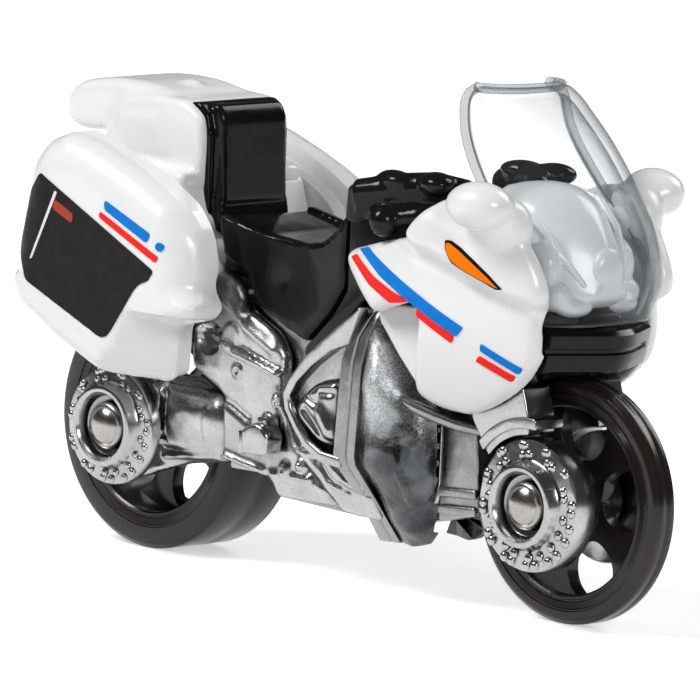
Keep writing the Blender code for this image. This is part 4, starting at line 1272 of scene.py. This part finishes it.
smoke = clear_plastic("smoke_clear", (0.22, 0.24, 0.25), (0.02, 0.8))
smoke_rim = clear_plastic("smoke_rim", (0.3, 0.32, 0.33), (0.3, 0.75))
piece = hand_over(shape, "screen", smoke, middle, 60.0)
wall = piece.modifiers.new("wall", "SOLIDIFY")
wall.thickness = 0.8 * MM
wall.offset = -1
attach(piece, "chassis")
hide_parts("windscreen")

RIM_STEPS = 40
heights = [SCREEN_FOOT + 0.2 + 18.0 * k / RIM_STEPS for k in range(RIM_STEPS + 1)]
edge = [on_screen(-1.0, z) for z in heights]
edge += [
    on_screen(math.sin(math.pi * (k / RIM_STEPS - 0.5)), SCREEN_TOP - 0.05) for k in range(1, RIM_STEPS)
]
edge += [on_screen(1.0, z) for z in reversed(heights)]
bead = tube([point - Vector((0.35, 0.0, 0.1)) for point in edge], [0.42] * len(edge), 12)
piece = hand_over(bead, "screen_rim", smoke_rim, middle, 60.0)
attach(piece, "chassis")


# ---------------------------------------------------------------- beak and front mudguard
# Black plastic lip under the screen, with a groove along it and a foot for the screen, and the
# curved guard that fills the space over the front tyre.
beak_rings = []
for z, side_x, apex_x in (
    (20.7, 23.4, 25.8), (20.95, 24.0, 26.5), (22.0, 24.3, 26.9), (22.3, 24.3, 26.9), (22.45, 24.0, 26.6),
    (22.75, 24.0, 26.6),
    (22.9, 24.5, 27.2), (23.9, 24.7, 27.3), (24.3, 24.3, 26.9),
):
    beak_rings.append([
        (21.0, -5.8, z), (side_x, -5.8, z), (side_x + (apex_x - side_x) * 0.78, -2.1, z), (apex_x, -0.5, z),
        (apex_x, 0.5, z), (side_x + (apex_x - side_x) * 0.78, 2.1, z), (side_x, 5.8, z), (21.0, 5.8, z),
    ])
foot = [(20.6, -4.9), (22.4, -4.9), (24.1, -2.8), (24.6, 0.0), (24.1, 2.8), (22.4, 4.9), (20.6, 4.9)]
foot_rings = [
    [(x + lean, y, z) for x, y in rounded(foot, 0.5)]
    for z, lean in ((24.1, 0.0), (25.3, 0.2), (25.8, 0.0), (26.0, -0.5))
]
piece = hand_over(gather(lofted(beak_rings), lofted(foot_rings)), "beak_lip", black_gloss, middle, 30.0)
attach(piece, "chassis")
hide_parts("beak")

guard = arc(front_centre, 10.5, 125, 86, 10) + [(front_centre[0] + 0.9, 20.7), (front_centre[0] - 7.0, 20.7)]
piece = hand_over(slab(guard, -2.35, 2.35, 0.2, 2), "tyre_guard", black_gloss, middle)
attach(piece, "chassis")
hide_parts("mudguard")


# ---------------------------------------------------------------- studio
# A white floor and a white surround, three large soft lamps, and the camera at the photo's angle.
def seen_directly(tree):
    """1 where the camera, a bright surface or the clear screen looks at it, and 0 for soft light."""
    path = tree.nodes.new("ShaderNodeLightPath")
    seen = Wire(tree, path.outputs["Is Camera Ray"])
    for name in ("Is Glossy Ray", "Is Transmission Ray"):
        seen = seen.maths("MAXIMUM", Wire(tree, path.outputs[name]))
    return seen


FLOOR_GLOW = 0.55
SURROUND_LIGHT = 0.65  # the surround is white to look at, and gives this much light

floor_mesh = bmesh.new()
bmesh.ops.create_grid(floor_mesh, x_segments=1, y_segments=1, size=2000.0)
floor_white, floor_shader, _ = finish("floor_white", base_color=(0.9, 0.9, 0.9, 1.0), roughness=1.0)
feed(floor_shader, emission_strength=seen_directly(floor_white.node_tree) * FLOOR_GLOW)
floor_shader.inputs["Emission Color"].default_value = (1, 1, 1, 1)
floor = hand_over(floor_mesh, "floor", floor_white, (0, 0, -0.02))

world = bpy.data.worlds.new("studio")
bpy.context.scene.world = world
world.use_nodes = True
tree = world.node_tree
back = tree.nodes["Background"]
strength = seen_directly(tree) * (1.0 - SURROUND_LIGHT) + SURROUND_LIGHT
tree.links.new(strength.socket, back.inputs["Strength"])

for name, place, size, power in (
    ("key", (-0.30, -0.45, 0.62), 0.30, 5.2),
    ("fill", (0.66, -0.25, 0.36), 0.22, 2.0),
    ("rim", (0.1, 0.6, 0.5), 0.4, 2.4),
):
    lamp = bpy.data.lights.new(name, "AREA")
    lamp.shape = "SQUARE"
    lamp.size = size
    lamp.energy = power
    stand = bpy.data.objects.new(name, lamp)
    bpy.context.scene.collection.objects.link(stand)
    stand.location = place
    stand.rotation_euler = (Vector((0, 0, 0.02)) - Vector(place)).to_track_quat("-Z", "Y").to_euler()

AZIMUTH = math.radians(44.23)  # from the right-hand side towards the front
ELEVATION = math.radians(7.80)
ROLL = math.radians(2.46)
DISTANCE = 0.8
aim = Vector((middle.x - 3.28, 0.0, 18.89)) * MM
away = Vector((
    math.sin(AZIMUTH) * math.cos(ELEVATION), -math.cos(AZIMUTH) * math.cos(ELEVATION), math.sin(ELEVATION),
))
camera = bpy.data.objects.new("camera", bpy.data.cameras.new("camera"))
bpy.context.scene.collection.objects.link(camera)
camera.location = aim + away * DISTANCE
camera.rotation_mode = "QUATERNION"
camera.rotation_quaternion = (-away).to_track_quat("-Z", "Y") @ Matrix.Rotation(ROLL, 3, "Z").to_quaternion()
camera.data.sensor_width = 36.0
camera.data.lens = 501.7
camera.data.clip_start = 0.01
bpy.context.scene.camera = camera
bpy.context.scene.view_settings.view_transform = "Standard"
